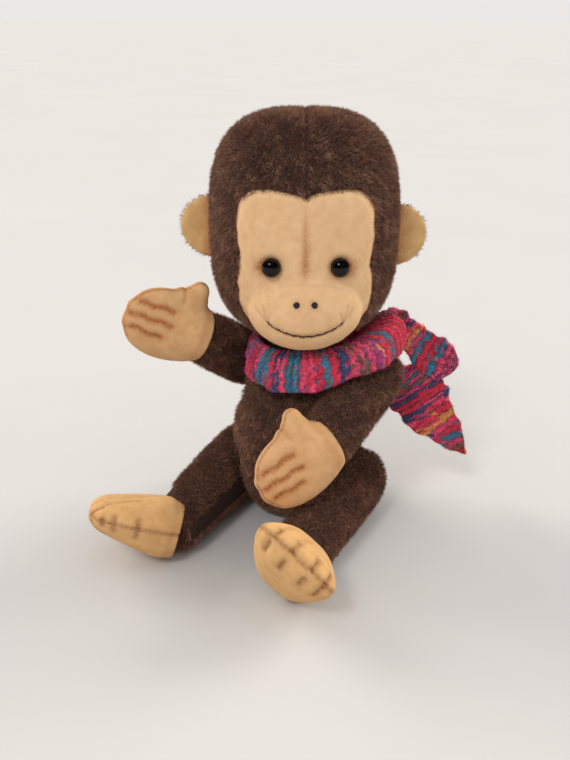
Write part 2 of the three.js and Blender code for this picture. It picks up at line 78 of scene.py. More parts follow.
# Stations are (distance along, half width, half thickness). A limb's are measured from its joint, and a
# hand's or foot's from just inside the limb's end.
ARM_STATIONS = [
    (-13.2, 6, 5), (-9.5, 12.4, 11), (0, 14, 12.3), (14, 13, 12), (27, 12, 11.6), (40, 10.8, 10.6),
]  # fmt: skip
LEG_STATIONS = [
    (-15.6, 7, 7), (-11, 12.6, 13), (0, 13.6, 15.3), (20, 13, 14.2), (41, 12.2, 12.2), (59, 11.4, 11.2),
]  # fmt: skip
TORSO_STATIONS = [
    (0, 15, 19), (5, 21, 25.5), (18, 25, 30), (34, 26, 31), (50, 24.5, 28), (62, 21.5, 23), (71, 18, 18),
    (77.7, 12, 12.5),
]  # fmt: skip
HAND_STATIONS = [(0, 10.4, 9.6), (6, 12.8, 9), (14, 14.2, 7.4), (22, 13.6, 6), (29, 10.6, 4.4), (34, 4.6, 2)]
FOOT_STATIONS = [
    (0, 11.2, 10.8), (6, 13.6, 11.6), (14, 16.4, 10), (24, 17.2, 7.6), (31, 15.8, 5.2), (35, 10.6, 2.2),
]  # fmt: skip
# The thumb's lobes are (along, across, half width, half thickness).
THUMB_LOBES = [(8.2, 16.6, 3.9, 4.4), (9.4, 12, 6.4, 4.8), (12, 8, 9, 4.6)]
LIMB_MIDDLE = 12  # from the joint's inner face out to the limb's middle line
END_OVERLAP = 3  # how far a hand or foot reaches into its limb
BELLY_FORWARD = 4

LIMBS = {
    "left_arm": dict(side=1, pitch=-22, shift=-2, low=-22, high=-8),
    "right_arm": dict(side=-1, pitch=31, shift=1, low=-5, high=34),
    "left_leg": dict(side=1, pitch=-4, shift=3.5, low=-88, high=-4),
    "right_leg": dict(side=-1, pitch=-4, shift=-2, low=-88, high=4),
}
ENDS = {
    "left_hand": dict(limb="left_arm", along=(-0.43, -0.82, -0.36), up=(-0.4, -0.04, 0.92)),
    "right_hand": dict(limb="right_arm", along=(-0.56, -0.71, 0.42), up=(0.2, 0.25, 0.9)),
    "left_foot": dict(limb="left_leg", along=(0.4, -0.66, 0.58), up=(0.34, 0.79, 0.52)),
    "right_foot": dict(limb="right_leg", along=(-0.785, -0.505, 0.3), up=(0.09, 0.446, 0.89)),
}
JOINTS = ("neck", "left_shoulder", "right_shoulder", "left_hip", "right_hip")


# ---- Mesh helpers


def squarer(x, y, power):
    """Points of a circle moved out to a squarer curve of the same half width."""
    reach = np.maximum(np.hypot(x, y), 1e-9)
    factor = (np.abs(x / reach) ** power + np.abs(y / reach) ** power) ** (-1 / power)
    return x * factor, y * factor


def smooth_rows(rows, count):
    """A smooth curve through rows, at count + 1 even steps."""
    rows = np.array(rows, float)
    padded_rows = np.vstack([2 * rows[0] - rows[1], rows, 2 * rows[-1] - rows[-2]])
    steps = np.linspace(0, len(rows) - 1, count + 1)
    index = np.minimum(steps.astype(int), len(rows) - 2)
    t = (steps - index)[:, None]
    a, b, c, d = (padded_rows[index + k] for k in range(4))
    return b + 0.5 * t * (c - a + t * (2 * a - 5 * b + 4 * c - d + t * (3 * (b - c) + d - a)))


def tube_faces(rings, sides, closed_ends=True):
    ring = np.arange(rings - 1)[:, None] * sides
    side = np.arange(sides)[None, :]
    nxt = (side + 1) % sides
    quads = np.stack([ring + side, ring + nxt, ring + sides + nxt, ring + sides + side], -1).reshape(-1, 4)
    faces = quads.tolist()
    if closed_ends:
        faces.append(list(range(sides))[::-1])
        faces.append(list(range((rings - 1) * sides, rings * sides)))
    return faces


def loft(stations, place, sides=32, rings=24):
    """A closed body. place turns (along, across, through) into the frame."""
    rows = smooth_rows(stations, rings)
    angle = np.linspace(0, 2 * math.pi, sides, endpoint=False)
    across = rows[:, 1:2] * np.cos(angle)
    through = rows[:, 2:3] * np.sin(angle)
    along = np.repeat(rows[:, :1], sides, 1)
    points = place(along.ravel(), across.ravel(), through.ravel())
    return points, tube_faces(rings + 1, sides)


def ellipsoid(middle, half, sides=24, rings=14):
    polar = np.linspace(0.02, math.pi - 0.02, rings + 1)[:, None]
    angle = np.linspace(0, 2 * math.pi, sides, endpoint=False)[None, :]
    x = np.sin(polar) * np.cos(angle)
    y = np.sin(polar) * np.sin(angle)
    z = np.repeat(-np.cos(polar), sides, 1)
    points = np.stack([x.ravel(), y.ravel(), z.ravel()], 1) * half + middle
    return points, tube_faces(rings + 1, sides)


def joined(parts):
    points, faces, start = [], [], 0
    for part_points, part_faces in parts:
        points.append(part_points)
        faces.extend([[i + start for i in face] for face in part_faces])
        start += len(part_points)
    return np.vstack(points), faces


def new_object(name, points, faces):
    mesh = bpy.data.meshes.new(name)
    mesh.from_pydata((np.asarray(points) * MM).tolist(), [], faces)
    mesh.update()
    obj = bpy.data.objects.new(name, mesh)
    bpy.context.scene.collection.objects.link(obj)
    return obj


def applied(obj):
    """Turns the object's modifiers into its mesh."""
    graph = bpy.context.evaluated_depsgraph_get()
    mesh = bpy.data.meshes.new_from_object(obj.evaluated_get(graph))
    old = obj.data
    obj.modifiers.clear()
    obj.data = mesh
    bpy.data.meshes.remove(old)
    return obj


def soft_object(name, parts, voxel=1.2, ease=6):
    """One smooth stuffed form round the given closed bodies."""
    obj = new_object(name, *joined(parts))
    remesh = obj.modifiers.new("voxels", "REMESH")
    remesh.mode = "VOXEL"
    remesh.voxel_size = voxel * MM
    smooth = obj.modifiers.new("ease", "SMOOTH")
    smooth.factor = 0.5
    smooth.iterations = ease
    return applied(obj)


def get_points(obj):
    points = np.empty(len(obj.data.vertices) * 3)
    obj.data.vertices.foreach_get("co", points)
    return points.reshape(-1, 3) / MM


def set_points(obj, points):
    obj.data.vertices.foreach_set("co", (points * MM).ravel())
    obj.data.update()


def get_normals(obj):
    normals = np.empty(len(obj.data.vertices) * 3)
    obj.data.vertex_normals.foreach_get("vector", normals)
    return normals.reshape(-1, 3)


def set_values(obj, name, values):
    layer = obj.data.attributes.new(name, "FLOAT", "POINT")
    layer.data.foreach_set("value", np.asarray(values, np.float32))


def set_colours(obj, name, colours):
    layer = obj.data.color_attributes.new(name, "FLOAT_COLOR", "POINT")
    rgba = np.hstack([colours, np.ones((len(colours), 1))])
    layer.data.foreach_set("color", rgba.astype(np.float32).ravel())


def outward_faces(obj):
    """Turns every face of a closed mesh outward."""
    work = bmesh.new()
    work.from_mesh(obj.data)
    bmesh.ops.recalc_face_normals(work, faces=work.faces)
    work.to_mesh(obj.data)
    work.free()


def unit(vectors):
    return vectors / np.maximum(np.linalg.norm(vectors, axis=1), 1e-9)[:, None]


def bump_at(values, middle, spread):
    return np.exp(-(((values - middle) / spread) ** 2))


def groove(points, start, end, width):
    """1 on the segment from start to end, falling to 0 about one width away."""
    start, end = np.array(start, float), np.array(end, float)
    line = end - start
    t = np.clip(((points - start) @ line) / (line @ line), 0, 1)
    away = np.linalg.norm(points - start - t[:, None] * line, axis=1)
    return np.exp(-((away / width) ** 2))


# ---- Materials


def linear(r, g, b):
    """A screen colour from 0 to 255 as linear values."""
    values = np.array([r, g, b]) / 255
    return tuple(np.where(values <= 0.04045, values / 12.92, ((values + 0.055) / 1.055) ** 2.4))


class Nodes:
    """A material's nodes, with short ways to add and join them."""

    def __init__(self, name):
        self.material = bpy.data.materials.new(name)
        self.material.use_nodes = True
        self.tree = self.material.node_tree
        self.shader = self.tree.nodes["Principled BSDF"]
        self.place = self.add("ShaderNodeTexCoord").outputs["Object"]

    def add(self, kind, **settings):
        node = self.tree.nodes.new(kind)
        for key, value in settings.items():
            setattr(node, key, value)
        return node

    def link(self, source, target):
        self.tree.links.new(source, target)

    def noise(self, per_mm, detail=3, roughness=0.6):
        node = self.add("ShaderNodeTexNoise")
        node.inputs["Scale"].default_value = per_mm / MM
        node.inputs["Detail"].default_value = detail
        node.inputs["Roughness"].default_value = roughness
        self.link(self.place, node.inputs["Vector"])
        return node.outputs["Fac"]

    def ramp(self, value, stops):
        node = self.add("ShaderNodeValToRGB")
        ramp = node.color_ramp
        for i, (position, colour) in enumerate(stops):
            stop = ramp.elements[i] if i < 2 else ramp.elements.new(position)
            stop.position = position
            stop.color = (*colour, 1)
        self.link(value, node.inputs["Fac"])
        return node.outputs["Color"]

    def mix(self, factor, first, second):
        node = self.add("ShaderNodeMix", data_type="RGBA")
        self.link(factor, node.inputs["Factor"])
        for socket, value in ((node.inputs[6], first), (node.inputs[7], second)):
            if isinstance(value, tuple):
                socket.default_value = (*value, 1)
            else:
                self.link(value, socket)
        return node.outputs[2]

    def times(self, first, second):
        node = self.add("ShaderNodeMath", operation="MULTIPLY")
        self.link(first, node.inputs[0])
        self.link(second, node.inputs[1])
        return node.outputs[0]

    def attribute(self, name, output="Fac"):
        return self.add("ShaderNodeAttribute", attribute_name=name).outputs[output]

    def bump(self, height, depth_mm, strength=1.0):
        node = self.add("ShaderNodeBump")
        node.inputs["Strength"].default_value = strength
        node.inputs["Distance"].default_value = depth_mm * MM
        self.link(height, node.inputs["Height"])
        self.link(node.outputs["Normal"], self.shader.inputs["Normal"])

    def finish(self, colour, roughness, sheen=0.0, metallic=0.0, sheen_tint=(1, 1, 1)):
        inputs = self.shader.inputs
        if isinstance(colour, tuple):
            inputs["Base Color"].default_value = (*colour, 1)
        else:
            self.link(colour, inputs["Base Color"])
        inputs["Roughness"].default_value = roughness
        inputs["Metallic"].default_value = metallic
        inputs["Sheen Weight"].default_value = sheen
        inputs["Sheen Tint"].default_value = (*sheen_tint, 1)
        return self.material


def napped_cloth(name, light, dark, stain_and_shade):
    """Short brushed cloth. The shade attribute paints the toymaker's brown tint, and also painted shade in
    creases, folds and where one part meets another.
    """
    nodes = Nodes(name)
    cloth = nodes.ramp(nodes.noise(0.22, detail=5), [(0.3, dark), (0.72, light)])
    nap_noise = nodes.noise(3.2, detail=2)
    specks = nodes.ramp(nap_noise, [(0.45, (0, 0, 0)), (0.8, (0.28, 0.28, 0.28))])
    speckled = nodes.mix(specks, cloth, dark)
    blotches = nodes.ramp(nodes.noise(0.9, detail=4), [(0.32, (0.5, 0.5, 0.5)), (0.6, (1, 1, 1))])
    colour = nodes.mix(nodes.times(nodes.attribute("shade"), blotches), speckled, stain_and_shade)
    nodes.bump(nap_noise, 0.25, 0.6)
    return nodes.finish(colour, 0.92, sheen=0.25, sheen_tint=light)


def mottled(name, patches, detail, stops, grain, roughness, **finish):
    """A colour that drifts between stops. grain is the surface's noise: per mm, depth in mm and strength."""
    nodes = Nodes(name)
    colour = nodes.ramp(nodes.noise(patches, detail=detail), stops)
    per_mm, depth, strength = grain
    nodes.bump(nodes.noise(per_mm), depth, strength)
    return nodes.finish(colour, roughness, **finish)


def fibre(name, colour, roughness=0.7):
    """One shade of strand. It is a plain colour, because the strands of a piece take turns at several."""
    brighter = tuple(min(1, 3 * c) for c in colour)
    return Nodes(name).finish(colour, roughness, sheen=0.5, sheen_tint=brighter)


def knitted(name):
    nodes = Nodes(name)
    yarn = nodes.attribute("yarn", "Color")
    # Painted shade: the yarn is dimmed towards near black in noise patches that stand for the knitting's
    # hollows.
    hollow_shade = nodes.ramp(nodes.noise(1.3, detail=4), [(0.36, (0.6, 0.6, 0.6)), (0.52, (0, 0, 0))])
    darker = nodes.mix(hollow_shade, yarn, (0.025, 0.012, 0.02))
    hair_noise = nodes.noise(2.2, detail=4, roughness=0.75)
    hairs = nodes.ramp(hair_noise, [(0.56, (0, 0, 0)), (0.74, (0.5, 0.5, 0.5))])
    haired = nodes.mix(hairs, darker, linear(226, 150, 140))
    nodes.bump(nodes.noise(2.0, detail=4), 0.5, 1.0)
    return nodes.finish(haired, 0.9, sheen=0.3, sheen_tint=(0.8, 0.5, 0.55))


def glass_bead():
    nodes = Nodes("glass_bead")
    colour = nodes.ramp(nodes.noise(0.3), [(0.4, (0.002, 0.002, 0.002)), (0.7, (0.006, 0.005, 0.005))])
    nodes.shader.inputs["Specular IOR Level"].default_value = 0.25
    return nodes.finish(colour, 0.05)


# The brown of the toymaker's tint, also used as painted shade in creases, folds and where parts meet.
STAIN_AND_SHADE = linear(152, 80, 24)
FACE_CLOTH = napped_cloth("face_cloth", linear(228, 190, 146), linear(212, 170, 124), STAIN_AND_SHADE)
HAND_CLOTH = napped_cloth("hand_cloth", linear(214, 170, 122), linear(194, 148, 100), STAIN_AND_SHADE)
EAR_CLOTH = napped_cloth("ear_cloth", linear(214, 174, 122), linear(194, 152, 98), STAIN_AND_SHADE)
FOOT_CLOTH = napped_cloth("foot_cloth", linear(218, 174, 118), linear(200, 152, 98), linear(116, 66, 32))
NAP_ENDS = 0.2  # how strongly tinted or painted with shade a cloth is where its loose nap ends
NAP_SHADES = [
    fibre("nap_dark", linear(200, 156, 106), 0.9),
    # The light shade goes on every nap fibre's tip: painted glow of lit fibre tips.
    fibre("nap_light", linear(226, 188, 140), 0.9),
]
BACKING_LIGHT = linear(72, 48, 40)
BACKING = mottled(
    "fur_backing", 1.4, 4, [(0.3, linear(46, 30, 25)), (0.7, BACKING_LIGHT)], (2.5, 0.4, 0.8), 0.95,
    sheen=0.3, sheen_tint=BACKING_LIGHT,
)  # fmt: skip
PILE_SHADES = [
    fibre("pile_deep", linear(86, 57, 45)),
    fibre("pile_dark", linear(102, 69, 55)),
    fibre("pile_brown", linear(120, 84, 67)),
    fibre("pile_warm", linear(142, 102, 82)),
    # Only tips take this lightest shade: painted glow of lit fibre tips.
    fibre("pile_lit_tip", linear(182, 142, 114)),
]
YARNS = {
    "crimson": linear(218, 38, 72),
    "pink": linear(236, 70, 112),
    "teal": linear(36, 124, 158),
    "navy": linear(52, 66, 116),
    "magenta": linear(170, 54, 124),
    "orange": linear(226, 156, 76),
    "olive": linear(104, 96, 74),
}
YARN_SHARES = dict(crimson=0.2, pink=0.16, teal=0.28, navy=0.12, magenta=0.1, orange=0.06, olive=0.08)
KNIT = knitted("scarf_knit")
FUZZ = [fibre(f"fuzz_{name}", colour, 0.8) for name, colour in YARNS.items()]
BEAD = glass_bead()
THREAD = mottled(
    "thread", 2.5, 3, [(0.3, linear(18, 11, 10)), (0.7, linear(44, 28, 22))], (6, 0.1, 0.7), 0.75, sheen=0.2
)
HARDBOARD = mottled(
    "hardboard", 0.9, 5, [(0.3, linear(96, 66, 42)), (0.7, linear(140, 102, 68))], (1.8, 0.1, 0.5), 0.75
)
STEEL = mottled(
    "steel", 1.2, 4, [(0.35, linear(150, 152, 156)), (0.65, linear(196, 198, 200))], (4, 0.02, 0.4), 0.32,
    metallic=1,
)  # fmt: skip


# ---- Pile: tapered strands that stand on a surface


def surface_samples(obj, per_mm2, keep, bare=None):
    """Points spread evenly over a surface, with their normals and the vertex that each is near.

    keep says which points are wanted, and bare marks the vertices that none is wanted near.
    """
    mesh = obj.data
    mesh.calc_loop_triangles()
    corner = np.empty(len(mesh.loop_triangles) * 3, np.int32)
    mesh.loop_triangles.foreach_get("vertices", corner)
    corner = corner.reshape(-1, 3)
    points, normals = get_points(obj), get_normals(obj)
    a, b, c = (points[corner[:, k]] for k in range(3))
    area = np.linalg.norm(np.cross(b - a, c - a), axis=1) / 2
    count = int(area.sum() * per_mm2)
    chosen = np.searchsorted(np.cumsum(area), (np.arange(count) + rng.random(count)) * area.sum() / count)
    chosen = np.minimum(chosen, len(area) - 1)
    u, v = rng.random(count), rng.random(count)
    over = u + v > 1
    u[over], v[over] = 1 - u[over], 1 - v[over]
    weights = np.stack([1 - u - v, u, v], 1)
    triangle = corner[chosen]
    where = sum(points[triangle[:, k]] * weights[:, k : k + 1] for k in range(3))
    normal = sum(normals[triangle[:, k]] * weights[:, k : k + 1] for k in range(3))
    normal /= np.linalg.norm(normal, axis=1)[:, None]
    wanted = keep(where, normal) if keep else np.ones(len(where), bool)
    if bare is not None:
        wanted &= ~bare[triangle].any(1)
    return where[wanted], normal[wanted], triangle[wanted, 0]


TUFT_WAVES = rng.normal(0, 0.95, (3, 4, 3))  # for each axis four waves, a few millimetres long


def tufts(where):
    """A sideways push that changes smoothly over a few millimetres, so that strands stand in tufts."""
    return np.stack([np.sin(where @ waves.T + 2.1 * i).mean(1) for i, waves in enumerate(TUFT_WAVES)], 1)


def strand_corners(where, normal, tuft, lay, length, width, lean, curl):
    """Five corners for each strand, a quad below a tip triangle, clear of the floor."""
    count = len(where)
    wander = 0.55 * tuft + rng.normal(0, curl, (count, 3))
    along = lay - np.sum(lay * normal, 1)[:, None] * normal
    first = unit(normal + lean * along + wander)
    second = unit(normal * 0.6 + 1.9 * lean * along + 1.3 * wander)
    long = (length * rng.uniform(0.75, 1.15, count))[:, None]
    side = unit(np.cross(first, rng.normal(0, 1, (count, 3)))) * width / 2
    root = where - 0.4 * normal
    middle = root + first * long * 0.6
    tip = middle + second * long * 0.4
    corners = np.stack([root - side, root + side, middle + 0.8 * side, middle - 0.8 * side, tip], 1)
    corners[..., 2] = np.maximum(corners[..., 2], 0.1)
    return corners


def shade_levels(where, tuft, shades):
    """Which shade each strand's lower part takes. It varies in soft patches, from strand to strand, and with
    the way its tuft leans, as painted light and shade on the tufts.
    """
    patch = np.sin(where[:, 0] * 0.31 + 1.3 * np.sin(where[:, 2] * 0.23))
    patch *= np.sin(where[:, 1] * 0.27 + where[:, 2] * 0.19)
    # The tuft's lean makes a strand lighter or deeper: painted light and shade on the tufts.
    mixed = 0.45 + 0.12 * patch + 0.3 * tuft[:, 0] + rng.normal(0, 0.15, len(where))
    level = np.clip((len(shades) - 1.01) * mixed, 0, max(len(shades) - 2, 0))
    return level.astype(np.int32)


def strands(name, where, normal, lay, length, width, shades, lean=0.5, curl=0.22, levels=None):
    """Strands that lean along lay. Each has two shades, the deeper below and a lighter one on the tip as
    painted glow of lit fibre tips, or the one that levels gives it.
    """
    count = len(where)
    tuft = tufts(where)
    corners = strand_corners(where, normal, tuft, lay, length, width, lean, curl)
    lower = shade_levels(where, tuft, shades)
    # The tip is one shade lighter: painted glow of lit fibre tips.
    upper = lower + 1
    if levels is not None:
        lower = upper = levels.astype(np.int32)

    mesh = bpy.data.meshes.new(name)
    mesh.vertices.add(count * 5)
    mesh.vertices.foreach_set("co", (corners * MM).ravel())
    loops = (np.arange(count)[:, None] * 5 + np.array([0, 1, 2, 3, 3, 2, 4])).ravel()
    mesh.loops.add(len(loops))
    mesh.loops.foreach_set("vertex_index", loops)
    mesh.polygons.add(count * 2)
    mesh.polygons.foreach_set("loop_start", (np.arange(count)[:, None] * 7 + np.array([0, 4])).ravel())
    mesh.polygons.foreach_set("material_index", np.stack([lower, upper], 1).ravel())
    mesh.update(calc_edges=True)
    for shade in shades:
        mesh.materials.append(shade)
    obj = bpy.data.objects.new(name, mesh)
    bpy.context.scene.collection.objects.link(obj)
    return obj


def fur(obj, body, lay, keep, length=2.8):
    """The pile on one backing cloth. lay is the way the pile lies, or gives it for each point."""
    where, normal, _ = surface_samples(obj, 6.5, keep)
    lies = lay(where) if callable(lay) else np.tile(lay, (len(where), 1))
    pile = strands(obj.name + "_pile", where, normal, lies, length, 0.17, PILE_SHADES)
    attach(pile, body)


def nap(obj, body, tinted_or_shaded):
    """The short brushed fibres of a napped cloth, left off where it is tinted or painted with shade."""
    where, normal, _ = surface_samples(obj, 2.4, None, tinted_or_shaded)
    lay = np.tile([0.2, 0.1, -0.5], (len(where), 1))
    fibres = strands(obj.name + "_nap", where, normal, lay, 0.75, 0.07, NAP_SHADES, lean=0.9, curl=0.5)
    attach(fibres, body)


def finished(obj, body, material, nodes):
    """Gives a piece its material, hides the solids it stands for and, unless body is None, attaches it to the
    body it rides on.
    """
    obj.data.materials.clear()
    obj.data.materials.append(material)
    obj.data.polygons.foreach_set("use_smooth", [True] * len(obj.data.polygons))
    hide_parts(*nodes)
    if body:
        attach(obj, body)


def stuffed(obj, body, material, nodes):
    finished(obj, body, material, nodes)


# ---- Head

HEAD_TO_FRAME = Matrix.Translation((0, 0, NECK_Z)) @ Matrix.Rotation(math.radians(HEAD_TURN), 4, "Z")


def turned(points, matrix):
    m = np.array(matrix)
    return points @ m[:3, :3].T + m[:3, 3]


def turned_back(points, matrix):
    return turned(points, matrix.inverted())


def head_share(z):
    """The head's width at height z, as a share of its widest."""
    level = np.clip(2 * HEAD_CUT * z / HEAD_HEIGHT - HEAD_CUT, -1, 1)
    return (1 - np.abs(level) ** 3) ** (1 / 3)


def face_front(x, z):
    """How far in front of the neck the head's surface is at (x, z)."""
    share = np.maximum(head_share(z), 1e-3)
    skull_away = np.minimum((np.abs(x) / (HEAD_HALF_WIDTH * share)) ** HEAD_SQUARENESS, 1)
    skull = HEAD_HALF_DEPTH * share * (1 - skull_away) ** (1 / HEAD_SQUARENESS)
    away = (x / MUZZLE_HALF[0]) ** 2 + ((z - MUZZLE_MIDDLE[2]) / MUZZLE_HALF[2]) ** 2
    muzzle = -MUZZLE_MIDDLE[1] + MUZZLE_HALF[1] * np.sqrt(np.maximum(0, 1 - away))
    muzzle = np.where(away < 1, muzzle, 0)
    blend = 2.2
    return np.maximum(skull, muzzle) + blend * 0.35 * np.exp(-(((skull - muzzle) / blend) ** 2))


def skull_part(shrink):
    rings, sides = 40, 48
    heights = [HEAD_HEIGHT * (0.5 - 0.5 * math.cos(math.pi * i / rings)) for i in range(rings + 1)]
    share = np.array([float(head_share(height)) for height in heights])[:, None]
    angle = np.linspace(0, 2 * math.pi, sides, endpoint=False)[None, :]
    wide = (HEAD_HALF_WIDTH - shrink) * share * np.cos(angle)
    deep = (HEAD_HALF_DEPTH - shrink) * share * np.sin(angle)
    x, y = squarer(wide, deep, HEAD_SQUARENESS)
    z = np.repeat(shrink + np.array(heights)[:, None] * (1 - 2 * shrink / HEAD_HEIGHT), sides, 1)
    return np.stack([x.ravel(), y.ravel(), z.ravel()], 1), tube_faces(rings + 1, sides)


MASK_OUTLINE = [
    (0, 60), (6, 61.8), (12, 62.6), (18, 62), (22.4, 59.2), (24.5, 54.4), (24.9, 48), (24, 40), (23.6, 34.5),
    (24.6, 28), (24.8, 25), (23, 16), (19.5, 10.5), (14, 6), (7, 3), (0, 2.2),
]  # fmt: skip
MASK_MIDDLE = np.array([0, 31.0])


def mask_outline(count):
    """The face cloth's edge from the front, as points at even angles round MASK_MIDDLE."""
    right = np.array(MASK_OUTLINE, float)
    whole = np.vstack([right, right[-2:0:-1] * [-1, 1]])
    away = whole - MASK_MIDDLE
    angle = np.unwrap(np.arctan2(away[:, 0], away[:, 1]))
    reach = np.hypot(away[:, 0], away[:, 1])
    wanted = np.linspace(0, 2 * math.pi, count, endpoint=False)
    return wanted, np.interp(wanted, angle, reach, period=2 * math.pi)


def mask_reach(x, z):
    """How far out a point is, as a share of the way to the face cloth's edge."""
    angle, reach = mask_outline(240)
    away = np.stack([x, z - MASK_MIDDLE[1]], 1)
    direction = np.mod(np.arctan2(away[:, 0], away[:, 1]), 2 * math.pi)
    return np.hypot(away[:, 0], away[:, 1]) / np.interp(direction, angle, reach, period=2 * math.pi)


def head_lay(points):
    local = turned_back(points, HEAD_TO_FRAME)
    parting = np.sign(local[:, 0]) * np.exp(-np.abs(local[:, 0]) / 1.6) * (local[:, 2] > 60)
    sideways = np.array(HEAD_TO_FRAME)[:3, 0]
    return np.array([0.1, 0.2, -0.75]) + 0.8 * parting[:, None] * sideways


def build_head():
    muzzle = ellipsoid(MUZZLE_MIDDLE, MUZZLE_HALF - PILE_ROOT)
    head = soft_object("head", [skull_part(PILE_ROOT), muzzle], voxel=1.3, ease=5)
    local = get_points(head)
    seam = bump_at(local[:, 0], 0, 1.1) * ((local[:, 2] > 62) | (local[:, 1] > 0))
    local -= 0.4 * seam[:, None] * get_normals(head)
    set_points(head, turned(local, HEAD_TO_FRAME))
    stuffed(head, "head", BACKING, ["head_skin", "head_stuffing"])

    def outside_mask(where, normal):
        spot = turned_back(where, HEAD_TO_FRAME)
        in_front = spot[:, 1] < -6
        edge = 1 + rng.normal(0, 0.012, len(spot))
        return ~(in_front & (mask_reach(spot[:, 0], spot[:, 2]) < edge)) & (spot[:, 2] > 1.2)

    fur(head, "head", head_lay, outside_mask)


def mouth_height(x):
    return MOUTH_LOW + MOUTH_RISE * (x / MOUTH_HALF_WIDTH) ** 2


def face_shade(x, z):
    """Where the face cloth is tinted brown, and where it is darkened as painted shade in the creases at the
    ends of the smile, from 0 to 1.
    """
    brow = bump_at(x, 0, 1.3) * np.clip((60 - z) / 12, 0, 1) * np.clip((z - 29) / 9, 0, 1)
    low_brow = bump_at(x, 0, 2.2) * bump_at(z, 36, 5)
    shade = 0.5 * brow + 0.35 * low_brow
    for side in (-1, 1):
        around_eye = np.hypot(x - side * EYE_X, z - EYE_Z)
        outer = np.hypot((x - side * (EYE_X + 4.3)) / 2.6, (z - EYE_Z + 0.2) / 3)
        under = np.hypot((x - side * (EYE_X + 1)) / 4, (z - EYE_Z + 3.4) / 1.8)
        shade += 0.75 * np.exp(-(outer**2)) + 0.3 * np.exp(-(under**2)) + 0.5 * bump_at(around_eye, 3.4, 0.9)
        nostril = np.hypot(x - side * NOSTRIL_X, z - NOSTRIL_Z)
        shade += 0.5 * np.exp(-((nostril / 1.9) ** 2))
    # Painted shade in the folds at the ends of the smile.
    shade += 0.3 * mouth_corner_creases(x, z)
    shade += 0.6 * bump_at(z, mouth_height(x), 1.0) * (np.abs(x) < MOUTH_HALF_WIDTH + 0.6)
    return np.clip(shade, 0, 0.95)


def mouth_corner_creases(x, z):
    """Fine folds that rise from the ends of the smile, where the thread pulls the cloth in."""
    spot = np.stack([x, z], 1)
    creases = []
    for side in (-1, 1):
        corner = np.array([side * (MOUTH_HALF_WIDTH + 0.2), MOUTH_LOW + MOUTH_RISE])
        for lean, long in ((0.25, 6.5), (0.75, 5), (-0.25, 4)):
            creases.append(groove(spot, corner, corner + [side * lean * long, long], 0.55))
    return np.max(creases, axis=0)


def build_face():
    """The face cloth: a patch over the front of the head, its edge turned in under the pile."""
    rings, sides = 72, 200
    angle, reach = mask_outline(sides)
    jitter = np.tile(rng.normal(0, 0.4, sides), 3)
    ragged = np.convolve(jitter, np.ones(4) / 4, "same")[sides : 2 * sides]
    reach = reach + ragged
    share = np.linspace(0.004, 1.04, rings)[:, None]
    x = share * reach * np.sin(angle)
    z = MASK_MIDDLE[1] + share * reach * np.cos(angle)
    tuck = np.clip((share - 0.955) / 0.085, 0, 1) ** 2 * 2.6
    x, z = x.ravel(), z.ravel()
    front = face_front(x, z) - np.repeat(tuck, sides, 1).ravel()
    for side in (-1, 1):
        around_eye = np.hypot(x - side * EYE_X, z - EYE_Z)
        front -= 1.3 * np.exp(-((around_eye / 4.2) ** 4))
    front -= 0.55 * bump_at(z, mouth_height(x), 1.1) * bump_at(x, 0, MOUTH_HALF_WIDTH + 2)
    front -= 0.45 * bump_at(x, 0, 0.9) * np.clip((z - 30) / 6, 0, 1)
    front -= 0.3 * mouth_corner_creases(x, z)
    front_points = np.stack([x, -front, z], 1)
    back_points = front_points + [0, 1.1, 0]
    faces = tube_faces(rings, sides, closed_ends=False)
    count = len(front_points)
    faces.append(list(range(sides))[::-1])
    back = [[i + count for i in face[::-1]] for face in faces]
    points = np.vstack([front_points, back_points])
    edge = (rings - 1) * sides + np.arange(sides)
    after = np.roll(edge, -1)
    rim = np.stack([edge + count, after + count, after, edge], 1).tolist()
    face = new_object("face", turned(points, HEAD_TO_FRAME), faces + back + rim)
    outward_faces(face)
    shade = np.tile(face_shade(x, z), 2)
    set_values(face, "shade", shade)
    finished(face, "head", FACE_CLOTH, ["face_mask"])
    behind = np.arange(len(shade)) >= count
    nap(face, "head", behind | (shade > NAP_ENDS))


def build_bead(word, side):
    middle = np.array([side * EYE_X, EYE_Y - 0.1, EYE_Z])
    half = np.array([EYE_RADIUS + 0.15, EYE_RADIUS * 0.94, EYE_RADIUS + 0.15])
    points, faces = ellipsoid((0, 0, 0), half, 40, 28)
    # The thread runs through the bead from side to side, and leaves a dent at each end of its hole.
    points *= 1 - 0.06 * bump_at(np.hypot(points[:, 1], points[:, 2]), 0, 0.8)[:, None]
    bead = new_object(f"{word}_bead", turned(points + middle, HEAD_TO_FRAME), faces)
    finished(bead, "head", BEAD, [f"{word}_eye"])


def build_nostril(word, side):
    """A small knot of thread, wound unevenly."""
    points, faces = ellipsoid((0, 0, 0), np.array([1.25, 0.8, 1.3]), 20, 12)
    points = points * (1 + 0.05 * np.sin(points[:, :1] * 9))
    front = float(face_front(np.array(NOSTRIL_X), np.array(NOSTRIL_Z)))
    points = points + np.array([side * NOSTRIL_X, -front + 0.1, NOSTRIL_Z])
    knot = new_object(f"{word}_nostril_knot", turned(points, HEAD_TO_FRAME), faces)
    finished(knot, "head", THREAD, [f"{word}_nostril"])


def tube(path, radius, sides=8):
    """A closed tube along a path, its radius one value or one for each point."""
    path = np.asarray(path, float)
    tangent = unit(np.gradient(path, axis=0))
    side = unit(np.cross(tangent, [0.13, 0.21, 0.97]))
    other = np.cross(tangent, side)
    angle = np.linspace(0, 2 * math.pi, sides, endpoint=False)
    radius = np.broadcast_to(radius, len(path))[:, None, None]
    ring = side[:, None] * np.cos(angle)[None, :, None] + other[:, None] * np.sin(angle)[None, :, None]
    points = path[:, None] + radius * ring
    return points.reshape(-1, 3), tube_faces(len(path), sides)


